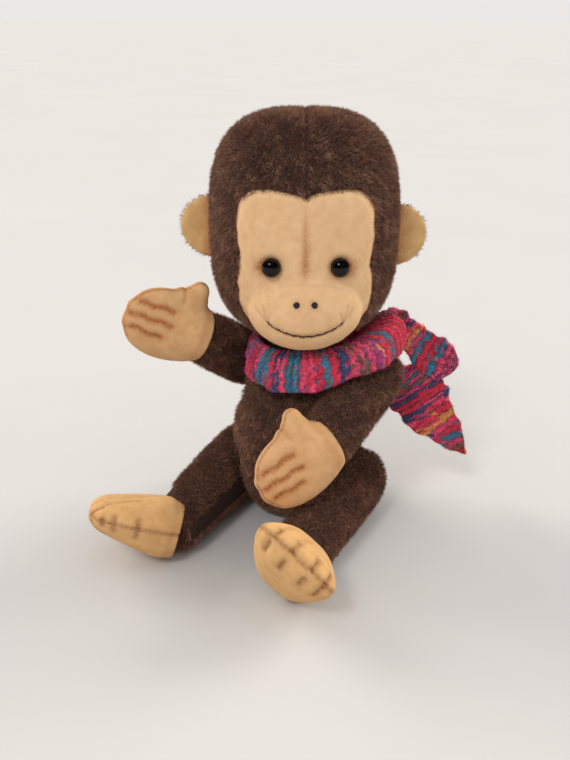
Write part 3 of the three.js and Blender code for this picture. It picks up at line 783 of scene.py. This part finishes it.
def build_mouth():
    """Two plies of thread, couched along the smile."""
    x = np.linspace(-MOUTH_HALF_WIDTH, MOUTH_HALF_WIDTH, 161)
    z = mouth_height(x) + 0.5 * np.clip((np.abs(x) - 12) / 2, 0, 1) ** 2
    z = z + 0.16 * np.sin(x * 1.7) + 0.1 * np.sin(x * 4.3)
    y = -face_front(x, z) + 0.36 + 0.16 * np.sin(x * 2.1 + 1)
    parts = []
    for phase in (0, math.pi):
        turn = x * 2.4 + phase
        path = np.stack([x, y - 0.14 * np.cos(turn), z + 0.14 * np.sin(turn)], 1)
        parts.append(tube(path, 0.21, 6))
    points, faces = joined(parts)
    mouth = new_object("mouth", turned(points, HEAD_TO_FRAME), faces)
    finished(mouth, "head", THREAD, ["mouth_thread"])


def build_ear(word, side, middle_z, backward):
    """A puffed half disc: napped cloth in front, pile behind and round the rim.

    backward is how far towards the back a spot must face, from 0 to 1, to carry pile.
    """
    rows, columns = 29, 48
    polar = np.linspace(0, math.pi, rows)[:, None]
    angle = np.linspace(-math.pi * 0.56, math.pi * 0.56, columns)[None, :]
    wide = np.sin(polar) * np.cos(angle) * 13.4 - 1
    tall = np.sin(polar) * np.sin(angle) * 12.4
    deep = -np.cos(polar) * 2.3 * np.ones_like(angle)
    # The front is dished, with a soft fold near the head.
    deep = deep + np.clip(-np.cos(polar), None, 0) * -2.4 * bump_at(wide, 5.5, 4.5) * bump_at(tall, 0, 7)
    points = np.stack([wide.ravel(), deep.ravel(), tall.ravel()], 1)
    corner = np.arange((rows - 1) * columns).reshape(rows - 1, columns)[:, :-1].ravel()
    faces = np.stack([corner, corner + 1, corner + columns + 1, corner + columns], 1).tolist()
    first_column = [row * columns for row in range(rows)]
    faces.append(first_column)
    faces.append([start + columns - 1 for start in reversed(first_column)])
    turn = Matrix.Rotation(math.radians(8), 4, "Z")
    placed = turned(points, turn) * [side, 1, 1] + [side * (HEAD_HALF_WIDTH - 1), 1, middle_z]
    ear = new_object(f"{word}_ear_cloth", turned(placed, HEAD_TO_FRAME), faces)
    outward_faces(ear)
    # Painted shade: the front darkens towards the head, where the ear meets it, and along the soft fold.
    painted_base_shade = bump_at(points[:, 0], 0.5, 3.4)
    fold = bump_at(points[:, 0], 4.5 + 0.06 * points[:, 2] ** 2, 1.8)
    shade = np.clip(0.7 * painted_base_shade + 0.16 * fold, 0, 0.85)
    set_values(ear, "shade", shade)
    stuffed(ear, "head", EAR_CLOTH, [f"{word}_ear"])
    nap(ear, "head", shade > NAP_ENDS)

    def behind(where, normal):
        facing = turned_back(normal, HEAD_TO_FRAME.to_3x3().to_4x4())
        return facing[:, 1] > backward

    outward = np.array(HEAD_TO_FRAME)[:3, 0] * side
    fur(ear, "head", outward * 0.8, behind, length=2.2)


# ---- Torso


POCKET_GAP = 0.6  # how far inside the joint plane the torso is pressed
POCKET_SLOPE = 2.4  # how steeply it swells again outside the limb


def pocket_limit(points, pivot, limb, radius):
    """How wide the torso may be at each point, so that the limb lies against it through its whole swing."""
    forward = -(points[:, 1] - pivot[1])
    up = points[:, 2] - pivot[2]
    angle = np.clip(np.arctan2(up, forward), math.radians(limb["low"]), math.radians(limb["high"]))
    reach = np.maximum(0, forward * np.cos(angle) + up * np.sin(angle))
    away = np.hypot(forward - reach * np.cos(angle), up - reach * np.sin(angle))
    return pivot[0] - POCKET_GAP + POCKET_SLOPE * np.maximum(0, away - radius)


def build_torso():
    def place(up, across, deep):
        x, y = squarer(across, deep, TORSO_SQUARENESS)
        middle = -BELLY_FORWARD * np.sin(math.pi * np.clip(up / NECK_Z, 0, 1))
        return np.stack([x, y + middle, up], 1)

    stations = [(z, wide - PILE_ROOT, deep - PILE_ROOT) for z, wide, deep in TORSO_STATIONS]
    stations[0] = (0.5, *stations[0][1:])
    torso = soft_object("torso", [loft(stations, place, 48, 40)], voxel=1.3, ease=4)
    points = get_points(torso)
    for side, word in ((1, "left"), (-1, "right")):
        for kind, pivot, radius in (("arm", SHOULDER, 12.5), ("leg", HIP, 15)):
            limit = pocket_limit(points, pivot, LIMBS[f"{word}_{kind}"], radius) - PILE_ROOT * 0.4
            over = points[:, 0] * side > limit
            points[over, 0] = side * limit[over]
    seam = bump_at(points[:, 0], 0, 1) * (points[:, 2] > 4)
    points -= 0.5 * seam[:, None] * get_normals(torso)
    points[:, 2] = np.maximum(points[:, 2], 0.3)
    set_points(torso, points)
    stuffed(torso, "torso", BACKING, ["torso_skin", "torso_stuffing"])

    def shown(where, normal):
        return (where[:, 2] > 1.5) & (where[:, 2] < 76)

    fur(torso, "torso", (0.0, 0.0, -0.8), shown)


# ---- Arms, legs, hands and feet


def limb_form(name):
    """The pivot and the stations of a limb, without its side."""
    return (SHOULDER, ARM_STATIONS) if name.endswith("arm") else (HIP, LEG_STATIONS)


def limb_matrix(limb, pivot):
    place = Matrix.Translation((limb["side"] * pivot[0], pivot[1], pivot[2]))
    swing = Matrix.Rotation(-math.radians(limb["pitch"]), 4, "X")
    return place @ swing @ Matrix.Diagonal((limb["side"], 1, 1, 1))


def end_matrix(name):
    """The hand's or foot's own frame: x to the tips, y to the thumb or across the foot, z through it."""
    end = ENDS[name]
    limb = LIMBS[end["limb"]]
    pivot, stations = limb_form(end["limb"])
    tip = limb_matrix(limb, pivot) @ Vector((LIMB_MIDDLE + limb["shift"], -stations[-1][0], 0))
    along = Vector(end["along"]).normalized()
    up = Vector(end["up"])
    up = (up - up.dot(along) * along).normalized()
    third = along.cross(up)
    axes = (along, up, third) if name.endswith("hand") else (along, -third, up)
    matrix = Matrix.Identity(4)
    for column, axis in enumerate(axes):
        matrix.col[column][:3] = axis
    matrix.translation = tip - END_OVERLAP * along
    return matrix


def build_limb(name):
    limb = LIMBS[name]
    pivot, stations = limb_form(name)
    length = stations[-1][0]

    def place(along, across, through):
        x, z = squarer(across, through, LIMB_SQUARENESS)
        swing = limb["shift"] * np.maximum(0, along / length) ** 1.5
        return np.stack([LIMB_MIDDLE + swing + x, -along, z], 1)

    slimmer = [(at, wide - PILE_ROOT, high - PILE_ROOT) for at, wide, high in stations]
    body = soft_object(name, [loft(slimmer, place, 36, 30)], voxel=1.2, ease=4)
    points = get_points(body)
    points[:, 0] = np.maximum(points[:, 0], 0.7)
    matrix = limb_matrix(limb, pivot)
    points = turned(points, matrix)
    points[:, 2] = np.maximum(points[:, 2], 0.5)
    set_points(body, points)
    if limb["side"] < 0:
        outward_faces(body)
    stuffed(body, name, BACKING, [f"{name}_skin", f"{name}_stuffing"])
    down_the_limb = np.array(matrix)[:3, 1] * -0.75
    end_name = next(key for key, end in ENDS.items() if end["limb"] == name)
    inside_end = end_matrix(end_name)

    def shown(where, normal):
        local = turned_back(where, matrix)
        covered = turned_back(where, inside_end)[:, 0] > 3.6
        return (local[:, 0] > 0.9) & ~covered & (where[:, 2] > 1.2)

    fur(body, name, down_the_limb, shown)


# Each finger line is (across, start, end), along the hand.
FINGER_LINES = [(6.8, 17.5, 30), (0.9, 16.5, 32.5), (-5, 19, 30.5)]
# Each toe line is (across towards the outer side, start on top, start under the sole), along the foot.
TOE_LINES = [(-10.4, 31, 28.5), (-2.6, 32, 28), (6, 31.5, 29.5), (12.5, 28.5, 27)]
TOE_END_ON_TOP, TOE_END_UNDER = 36, 33
SIDE_PUCKERS = [(29.5, 3), (25, 3.4), (16, 4.4)]  # along the foot's inner edge, half length across it


def build_hand(name):
    """A mitten with three finger lines sewn through it, a thumb, and a seam round its edge."""
    matrix = end_matrix(name)

    def place(along, across, through):
        return np.stack([along, across, through], 1)

    palm = loft(HAND_STATIONS, place, 40, 30)
    thumb = [ellipsoid((x, y, 0), np.array([half, half, thick])) for x, y, half, thick in THUMB_LOBES]
    hand = soft_object(name, [palm, *thumb], voxel=0.7, ease=12)
    points, normals = get_points(hand), get_normals(hand)
    flat = points * [1, 1, 0]
    # A finger line is a row of stitches pulled right through, from near the tips back over the palm.
    lines, around_lines = np.zeros(len(points)), np.zeros(len(points))
    for y, start, end in FINGER_LINES:
        wave = 0.35 * np.sin(points[:, 0] * 0.8 + y)
        bent = flat + wave[:, None] * [0, 1, 0]
        lines = np.maximum(lines, groove(bent, (start, y, 0), (end, y * 0.86, 0), 0.95))
        around_lines = np.maximum(around_lines, groove(bent, (start, y, 0), (end + 1, y * 0.86, 0), 1.9))
    thumb_line = groove(flat, (14.2, 11.5, 0), (14.6, 17, 0), 0.8)
    # The edge seam has rolled a little way round to the palm, on the thumb's side and over the tips.
    seam = bump_at(points[:, 2], -1.2, 0.6) * (np.abs(normals[:, 2]) < 0.8) * (points[:, 1] > -9)
    stitches = 0.5 + 0.5 * np.cos(2 * math.pi * points[:, 0] / 1.9)
    pulled = 0.9 * lines * (0.6 + 0.4 * stitches) + 0.25 * around_lines + 0.5 * thumb_line + 0.45 * seam
    points -= normals * pulled[:, None]
    shade = 0.75 * lines * (0.75 + 0.25 * stitches) + 0.4 * around_lines + 0.3 * thumb_line
    # The last term darkens a band just past the arm's end: painted shade under the edge of the fur.
    shade += 0.75 * seam * (0.6 + 0.4 * stitches) + 0.25 * bump_at(points[:, 0], 3.5, 1.6)
    shade = np.clip(shade, 0, 0.9)
    set_points(hand, turned(points, matrix))
    set_values(hand, "shade", shade)
    stuffed(hand, ENDS[name]["limb"], HAND_CLOTH, [name])
    nap(hand, ENDS[name]["limb"], shade > NAP_ENDS)


def build_foot(name):
    """A wedge-shaped pad with toe lines sewn over its front edge and a seam round it."""
    matrix = end_matrix(name)

    def place(along, across, through):
        y, z = squarer(across, through, FOOT_SQUARENESS)
        return np.stack([along, y, z], 1)

    foot = soft_object(name, [loft(FOOT_STATIONS, place, 44, 30)], voxel=0.8, ease=6)
    points, normals = get_points(foot), get_normals(foot)
    flat = points * [1, 1, 0]
    outer = 1 if name == "left_foot" else -1
    # The toe stitches cross the edge seam, short on top and longer under the foot.
    lines, around_lines = np.zeros(len(points)), np.zeros(len(points))
    on_top = points[:, 2] > 0
    for y, top_start, sole_start in TOE_LINES:
        for half, start, end in ((on_top, top_start, TOE_END_ON_TOP), (~on_top, sole_start, TOE_END_UNDER)):
            back, front = (start, outer * y, 0), (end, outer * y * 1.03, 0)
            lines = np.maximum(lines, half * groove(flat, back, front, 0.75))
            around_lines = np.maximum(around_lines, half * groove(flat, back, front, 1.7))
    side_pucker = np.zeros(len(points))
    for along, half_long in SIDE_PUCKERS:
        back, front = (along, -outer * 16, -half_long), (along + 0.8, -outer * 16.4, half_long)
        side_pucker = np.maximum(side_pucker, groove(points, back, front, 1.1))
    inner_crease = groove(flat, (17, -outer * 7, 0), (29, -outer * 9.6, 0), 0.9)
    middle_crease = groove(flat, (16, 0, 0), (29, -outer * 2, 0), 0.9)
    creases = on_top * np.maximum(inner_crease, middle_crease)
    seam = bump_at(points[:, 2], 0, 0.55) * (np.abs(normals[:, 2]) < 0.6)
    stitches = 0.5 + 0.5 * np.cos(2 * math.pi * (points[:, 1] + points[:, 0]) / 2.1)
    plump = bump_at(points[:, 0], 32, 4) * (0.45 - 0.8 * around_lines)
    pulled = 0.8 * lines + 0.9 * side_pucker + 0.5 * creases + 0.6 * seam * (0.5 + 0.5 * stitches) - plump
    points -= normals * pulled[:, None]
    wide_seam = bump_at(points[:, 2], 0, 1.3) * (np.abs(normals[:, 2]) < 0.7)
    # The side puckers and top creases are darkened as painted shade in their folds, and a band just past the
    # leg's end as painted shade under the edge of the fur.
    shade = 0.55 * lines + 0.3 * around_lines + 0.7 * side_pucker + 0.25 * creases
    shade += 0.6 * seam * (0.5 + 0.5 * stitches) + 0.25 * wide_seam + 0.2 * bump_at(points[:, 0], 3.2, 1.8)
    shade = np.clip(shade, 0, 0.9)
    placed = turned(points, matrix)
    placed[:, 2] = np.maximum(placed[:, 2], 0.2)
    set_points(foot, placed)
    set_values(foot, "shade", shade)
    stuffed(foot, ENDS[name]["limb"], FOOT_CLOTH, [name])
    nap(foot, ENDS[name]["limb"], shade > NAP_ENDS)


# ---- Scarf: garter knitting, two rows to a ridge, in yarn that changes colour every ridge or two

RIDGE = 2.5  # along the strip
STITCH = 1.5  # across the strip
KNIT_HALF = 1.15  # half the strip's thickness
KNOT = np.array([31, 24, 56.4])

# The collar's section at azimuths from the front towards the left: radius and height of its top edge, of
# the crest between its edges, and of its hem. It lies over the left shoulder, and the raised right arm
# pinches it.
COLLAR_SECTIONS = [
    (-130, 18.4, 76.1, 22.2, 73.4, 24.2, 67.6),
    (-85, 15.5, 77.0, 16.5, 77.0, 16.0, 75.4),
    (-50, 17.6, 76.3, 20.8, 74.4, 22.0, 69.9),
    (-25, 19.5, 75.7, 24.6, 71.8, 27.4, 64.6),
    (0, 20.3, 75.5, 26.2, 70.8, 29.8, 62.2),
    (26, 20.5, 75.6, 27.2, 71.6, 31.0, 62.6),
    (40, 21.0, 75.8, 28.6, 73.6, 33.2, 64.6),
    (53, 22.0, 76.0, 30.4, 75.4, 35.4, 67.4),
    (66, 23.0, 76.2, 32.8, 77.2, 37.8, 70.2),
    (90, 24.0, 76.6, 36.8, 81.2, 40.8, 71.6),
    (112, 25.0, 77.2, 38.4, 84.2, 40.8, 71.4),
    (128, 27.0, 78.0, 37.4, 83.0, 37.4, 70.0),
    (146, 24.0, 77.0, 31.0, 76.0, 32.0, 65.0),
    (166, 21.0, 75.6, 26.6, 71.4, 30.2, 62.6),
    (200, 20.2, 75.5, 25.8, 71.2, 29.0, 63.0),
]
COLLAR_START = 132  # azimuth where the strip starts and ends, under the knot

# A hanging end's stations are (x, y, z, half width, shift to one side), and curl is how far it waves.
LONG_END = dict(
    curl=1.3,
    stations=[
        (34, 26.4, 57, 6.5, 0), (38.6, 28.4, 51, 12, 0), (44, 30.2, 42, 12, 0), (53.6, 33, 30, 7.4, 0),
        (62.6, 35.6, 19.5, 2, 0),
    ],
)  # fmt: skip
SHORT_END = dict(
    curl=1.8,
    stations=[
        (27, 24.5, 84, 5.5, 0), (29, 25.5, 78.4, 7.5, 0), (36, 28.2, 70, 6.2, 2.6),
        (45.6, 32.2, 63.5, 8.8, 0.4), (55.9, 35.4, 59, 8, 0),
    ],
)  # fmt: skip


def uneven(u, v, size_u, size_v):
    """A smooth irregular value, mostly from -1 to 1, that changes over about size_u by size_v millimetres."""
    waves = 7
    total = np.zeros(len(u))
    for _ in range(waves):
        phase = rng.normal(0, 2.4 / size_u) * u + rng.normal(0, 2.4 / size_v) * v + rng.uniform(0, 6.3)
        total += np.sin(phase)
    return total / math.sqrt(waves)


def stitches_at(along, across):
    """The ridge number at each point of a strip, and the relief's height. Real rows wander a little."""
    along = along + 0.4 * uneven(along, across, 5, 3)
    across = across + 0.35 * uneven(along, across, 3, 5)
    ridge = np.floor(along / RIDGE)
    stitch = across / STITCH + 0.5 * (ridge % 2)
    ridge_height = np.abs(np.sin(math.pi * along / RIDGE)) ** 0.7
    height = ridge_height * (0.45 + 0.55 * np.abs(np.sin(math.pi * stitch)))
    height += 0.22 * uneven(along, across, 1.1, 1.1)
    return ridge.astype(int) - int(ridge.min()), height


def yarn_at(along, across, ridge, height):
    """Each point's yarn colour and its number. The next ridge's colour and a third one show in flecks, and
    the colour is dimmed in the relief's hollows and brightened on its tops as painted shade and light.
    """
    share = np.array(list(YARN_SHARES.values()))
    order = rng.choice(len(YARNS), ridge.max() + 3, p=share / share.sum())
    crimson, pink, teal = (list(YARNS).index(name) for name in ("crimson", "pink", "teal"))
    # A red follows every other colour, apart from a second ridge of teal now and then.
    for i in range(1, len(order)):
        if order[i - 1] in (crimson, pink):
            continue
        wide_band = order[i - 1] == teal and rng.random() < 0.3
        order[i] = teal if wide_band else rng.choice([crimson, pink])
    flecks = uneven(along, across, 0.9, 3.2)
    index = order[ridge + (flecks > 0.7)]
    index = np.where(flecks < -1.0, order[ridge] * 3 % len(YARNS), index)
    # Dimmer where the relief is low and brighter on its tops, as painted shade and light; it also drifts at
    # random.
    relief_shade_and_tone = (0.45 + 0.6 * np.clip(height, 0, 1.1)) * (1 + 0.18 * uneven(along, across, 1.5, 1.5))
    return np.array(list(YARNS.values()))[index] * relief_shade_and_tone[:, None], index


def knit_sheet(name, surface, long_steps, cross_steps, length, width, closed_loop=False):
    """A knitted strip with both faces. surface(s, t, out) gives points: s and t from 0 to 1, out in mm."""
    s = np.linspace(0, 1, long_steps, endpoint=not closed_loop)[:, None]
    profile_t = np.concatenate([np.linspace(0, 1, cross_steps), np.linspace(1, 0, cross_steps)])[None, :]
    face = np.concatenate([np.ones(cross_steps), -np.ones(cross_steps)])[None, :]
    s_all = np.repeat(s, 2 * cross_steps, 1).ravel()
    t_all = np.repeat(profile_t, long_steps, 0).ravel()
    face_all = np.repeat(face, long_steps, 0).ravel()
    along, across = s_all * length, t_all * width
    ridge, height = stitches_at(along, across)
    rounded = np.sqrt(np.clip(1 - (2 * t_all - 1) ** 10, 0.05, 1))
    out = face_all * (KNIT_HALF * rounded + 0.75 * height - 0.35)
    points = surface(s_all, t_all, out)
    sides = 2 * cross_steps
    faces = tube_faces(long_steps, sides, closed_ends=not closed_loop)
    if closed_loop:
        last = (long_steps - 1) * sides
        faces += [[last + j, last + (j + 1) % sides, (j + 1) % sides, j] for j in range(sides)]
    sheet = new_object(name, points, faces)
    outward_faces(sheet)
    colours, index = yarn_at(along, across, ridge, height)
    set_colours(sheet, "yarn", colours)
    return sheet, index


def collar_sections(degrees):
    """The six section values at each azimuth, eased between the rows of COLLAR_SECTIONS."""
    rows = np.array(COLLAR_SECTIONS, float)
    fine = np.arange(0, 360, 1.0)
    window = np.hanning(23) / np.hanning(23).sum()
    values = []
    for column in rows[:, 1:].T:
        line = np.interp(fine, rows[:, 0] % 360, column, period=360)
        eased = np.convolve(np.concatenate([line[-11:], line, line[:11]]), window, "valid")
        values.append(np.interp(degrees % 360, fine, eased, period=360))
    return values


def collar_surface(s, t, out):
    """s runs once round the neck from COLLAR_START, t from the top edge to the hem."""
    degrees = COLLAR_START + 360 * s
    around = np.radians(degrees)
    top_r, top_z, crest_r, crest_z, hem_r, hem_z = collar_sections(degrees)
    at_top, at_crest, at_hem = (1 - t) * (1 - 2 * t), 4 * t * (1 - t), t * (2 * t - 1)
    radius = top_r * at_top + crest_r * at_crest + hem_r * at_hem
    height = top_z * at_top + crest_z * at_crest + hem_z * at_hem
    slope_r = top_r * (4 * t - 3) + crest_r * (4 - 8 * t) + hem_r * (4 * t - 1)
    slope_z = top_z * (4 * t - 3) + crest_z * (4 - 8 * t) + hem_z * (4 * t - 1)
    slope = unit(np.stack([slope_r, slope_z], 1))
    pleats = (0.8 * np.sin(around * 11 + 0.6 * np.sin(around * 3)) + 0.4 * np.sin(around * 23)) * t
    radius = radius - slope[:, 1] * out + pleats
    height = height + slope[:, 0] * out
    return np.stack([radius * np.sin(around), -radius * np.cos(around) - 1, height], 1)


def end_surface(end):
    """A hanging end: s runs down its path, t across it. Its corners are rounded and its edges uneven."""
    facing = np.array([0.45, -0.85, 0.1])
    steps = 200
    stations = smooth_rows(end["stations"], steps)
    path, half_width, aside = stations[:, :3], stations[:, 3:4], stations[:, 4:]
    tangent = unit(np.gradient(path, axis=0))
    side = unit(np.cross(facing, tangent))
    normal = np.cross(tangent, side)

    def surface(s, t, out):
        low = np.minimum((s * steps).astype(int), steps - 1)
        share = (s * steps - low)[:, None]

        def sample(rows):
            return rows[low] * (1 - share) + rows[low + 1] * share

        from_end = np.minimum(s, 1 - s) / 0.16
        rounded = np.sqrt(np.clip(1 - np.clip(1 - from_end, 0, 0.97) ** 2, 0, 1))[:, None]
        s, t = s[:, None], t[:, None]
        edge = 1 + 0.06 * np.sin(23 * s + 2.4 * t) + 0.04 * np.sin(51 * s)
        wide = sample(half_width) * rounded * edge
        curl = end["curl"] * np.sin(4.2 * s + 3.4 * t) + 0.35 * np.sin(14 * s + 3 * t)
        across = sample(aside) + wide * (2 * t - 1)
        return sample(path) + sample(side) * across + sample(normal) * (out[:, None] + curl)

    return surface


def fuzz(obj, index, move):
    """Loose hairs of the yarn under them. move attaches them as their piece is attached."""
    where, normal, near = surface_samples(obj, 3.2, None)
    lay = rng.normal(0, 0.6, where.shape)
    haze = strands(obj.name + "_fuzz", where, normal, lay, 1.5, 0.13, FUZZ, 0.8, 0.7, index[near])
    move(haze)


def with_torso(obj):
    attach(obj, "torso")


def over_left_shoulder(obj):
    """Part of the collar lies on the left arm. This bakes the piece's place into its mesh and attaches it to
    no body.
    """
    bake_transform(obj)


def build_knot():
    """A ball of strip, wound round its front-to-back axis. Returns it with its yarn numbers."""
    points, faces = ellipsoid((0, 0, 0), np.array([5.4, 4.6, 5.6]), 120, 70)
    angle = np.arctan2(points[:, 0], points[:, 2])
    along, across = (angle + math.pi) * 6.5, points[:, 1] + 5
    ridge, height = stitches_at(along, across)
    knot = new_object("knot", points * (1 + 0.12 * height)[:, None] + KNOT, faces)
    outward_faces(knot)
    colours, yarn = yarn_at(along, across, ridge, height)
    set_colours(knot, "yarn", colours)
    stuffed(knot, "torso", KNIT, ["scarf_knot"])
    return knot, yarn


def build_scarf():
    collar, collar_yarn = knit_sheet("collar", collar_surface, 640, 56, 163, 17, closed_loop=True)
    finished(collar, None, KNIT, ["scarf_collar"])
    over_left_shoulder(collar)
    long_end, long_yarn = knit_sheet("long_end", end_surface(LONG_END), 190, 76, 50, 24)
    finished(long_end, "torso", KNIT, ["scarf_long_end"])
    short_end, short_yarn = knit_sheet("short_end", end_surface(SHORT_END), 170, 60, 42, 18)
    finished(short_end, "torso", KNIT, ["scarf_short_end"])
    knot, knot_yarn = build_knot()

    fuzz(collar, collar_yarn, over_left_shoulder)
    for piece, yarn in ((long_end, long_yarn), (short_end, short_yarn), (knot, knot_yarn)):
        fuzz(piece, yarn, with_torso)


def finish_joint_hardware():
    for name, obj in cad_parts.items():
        if not name.startswith(JOINTS) or obj.hide_render:
            continue
        material = HARDBOARD if name.endswith("disc") else STEEL
        for slot in obj.material_slots:
            slot.material = material


# ---- Floor, light and camera


def soft_sun(name, direction, spread, strength, colour, in_reflections=True):
    """A wide, distant light from direction. The floor is then as bright far off as it is near."""
    light = bpy.data.lights.new(name, "SUN")
    light.angle = spread
    light.energy = strength
    light.color = colour
    obj = bpy.data.objects.new(name, light)
    obj.visible_glossy = in_reflections
    obj.rotation_euler = Vector(direction).to_track_quat("Z", "Y").to_euler()
    bpy.context.scene.collection.objects.link(obj)


FLOOR_HALF = 60000  # so far out that its edge is the horizon
CAMERA_PLACE = (160.2, -317.5, 199)
CAMERA_PITCH, CAMERA_HEADING = 22, 28  # degrees down, and degrees from +Y towards -X
CAMERA_LENS = 42.6  # for a 36 mm sensor along the picture's longer side


def build_floor():
    nodes = Nodes("floor_paint")
    tones = [(0.35, (0.5, 0.492, 0.487)), (0.65, (0.515, 0.507, 0.502))]
    nodes.finish(nodes.ramp(nodes.noise(0.004), tones), 0.9)
    nodes.shader.inputs["Specular IOR Level"].default_value = 0
    corners = np.array([[-1, -1, 0], [1, -1, 0], [1, 1, 0], [-1, 1, 0]]) * FLOOR_HALF
    floor = new_object("floor", corners, [[0, 1, 2, 3]])
    floor.data.materials.append(nodes.material)


def build_light():
    world = bpy.data.worlds.new("studio")
    world.use_nodes = True
    background = world.node_tree.nodes["Background"]
    background.inputs["Color"].default_value = (1, 0.99, 0.98, 1)
    background.inputs["Strength"].default_value = 0.82
    world.cycles_visibility.glossy = False
    bpy.context.scene.world = world
    soft_sun("key", (0, -0.75, 0.8), 0.25, 1.0, (1, 0.97, 0.94))
    soft_sun("window_left", (-0.8, 0.15, 0.4), 0.6, 2.2, (1, 0.93, 0.84), in_reflections=False)
    soft_sun("window_right", (0.45, 0.75, 0.4), 0.6, 2.2, (1, 0.94, 0.86), in_reflections=False)


def build_camera():
    camera = bpy.data.cameras.new("camera")
    camera.sensor_width = 36
    camera.lens = CAMERA_LENS
    obj = bpy.data.objects.new("camera", camera)
    obj.location = Vector(CAMERA_PLACE) * MM
    pitch, heading = math.radians(CAMERA_PITCH), math.radians(CAMERA_HEADING)
    level = math.cos(pitch)
    forward = Vector((-math.sin(heading) * level, math.cos(heading) * level, -math.sin(pitch)))
    obj.rotation_euler = forward.to_track_quat("-Z", "Y").to_euler()
    bpy.context.scene.collection.objects.link(obj)
    bpy.context.scene.camera = obj


build_head()
build_face()
for side_word, side_sign in (("left", 1), ("right", -1)):
    build_bead(side_word, side_sign)
    build_nostril(side_word, side_sign)
build_mouth()
build_ear("left", 1, 40, backward=0.5)
build_ear("right", -1, 43.5, backward=0.1)
build_torso()
for limb_name in LIMBS:
    build_limb(limb_name)
for end_name in ENDS:
    if end_name.endswith("hand"):
        build_hand(end_name)
    else:
        build_foot(end_name)
build_scarf()
finish_joint_hardware()
build_floor()
build_light()
build_camera()
bpy.context.scene.view_settings.view_transform = "Standard"
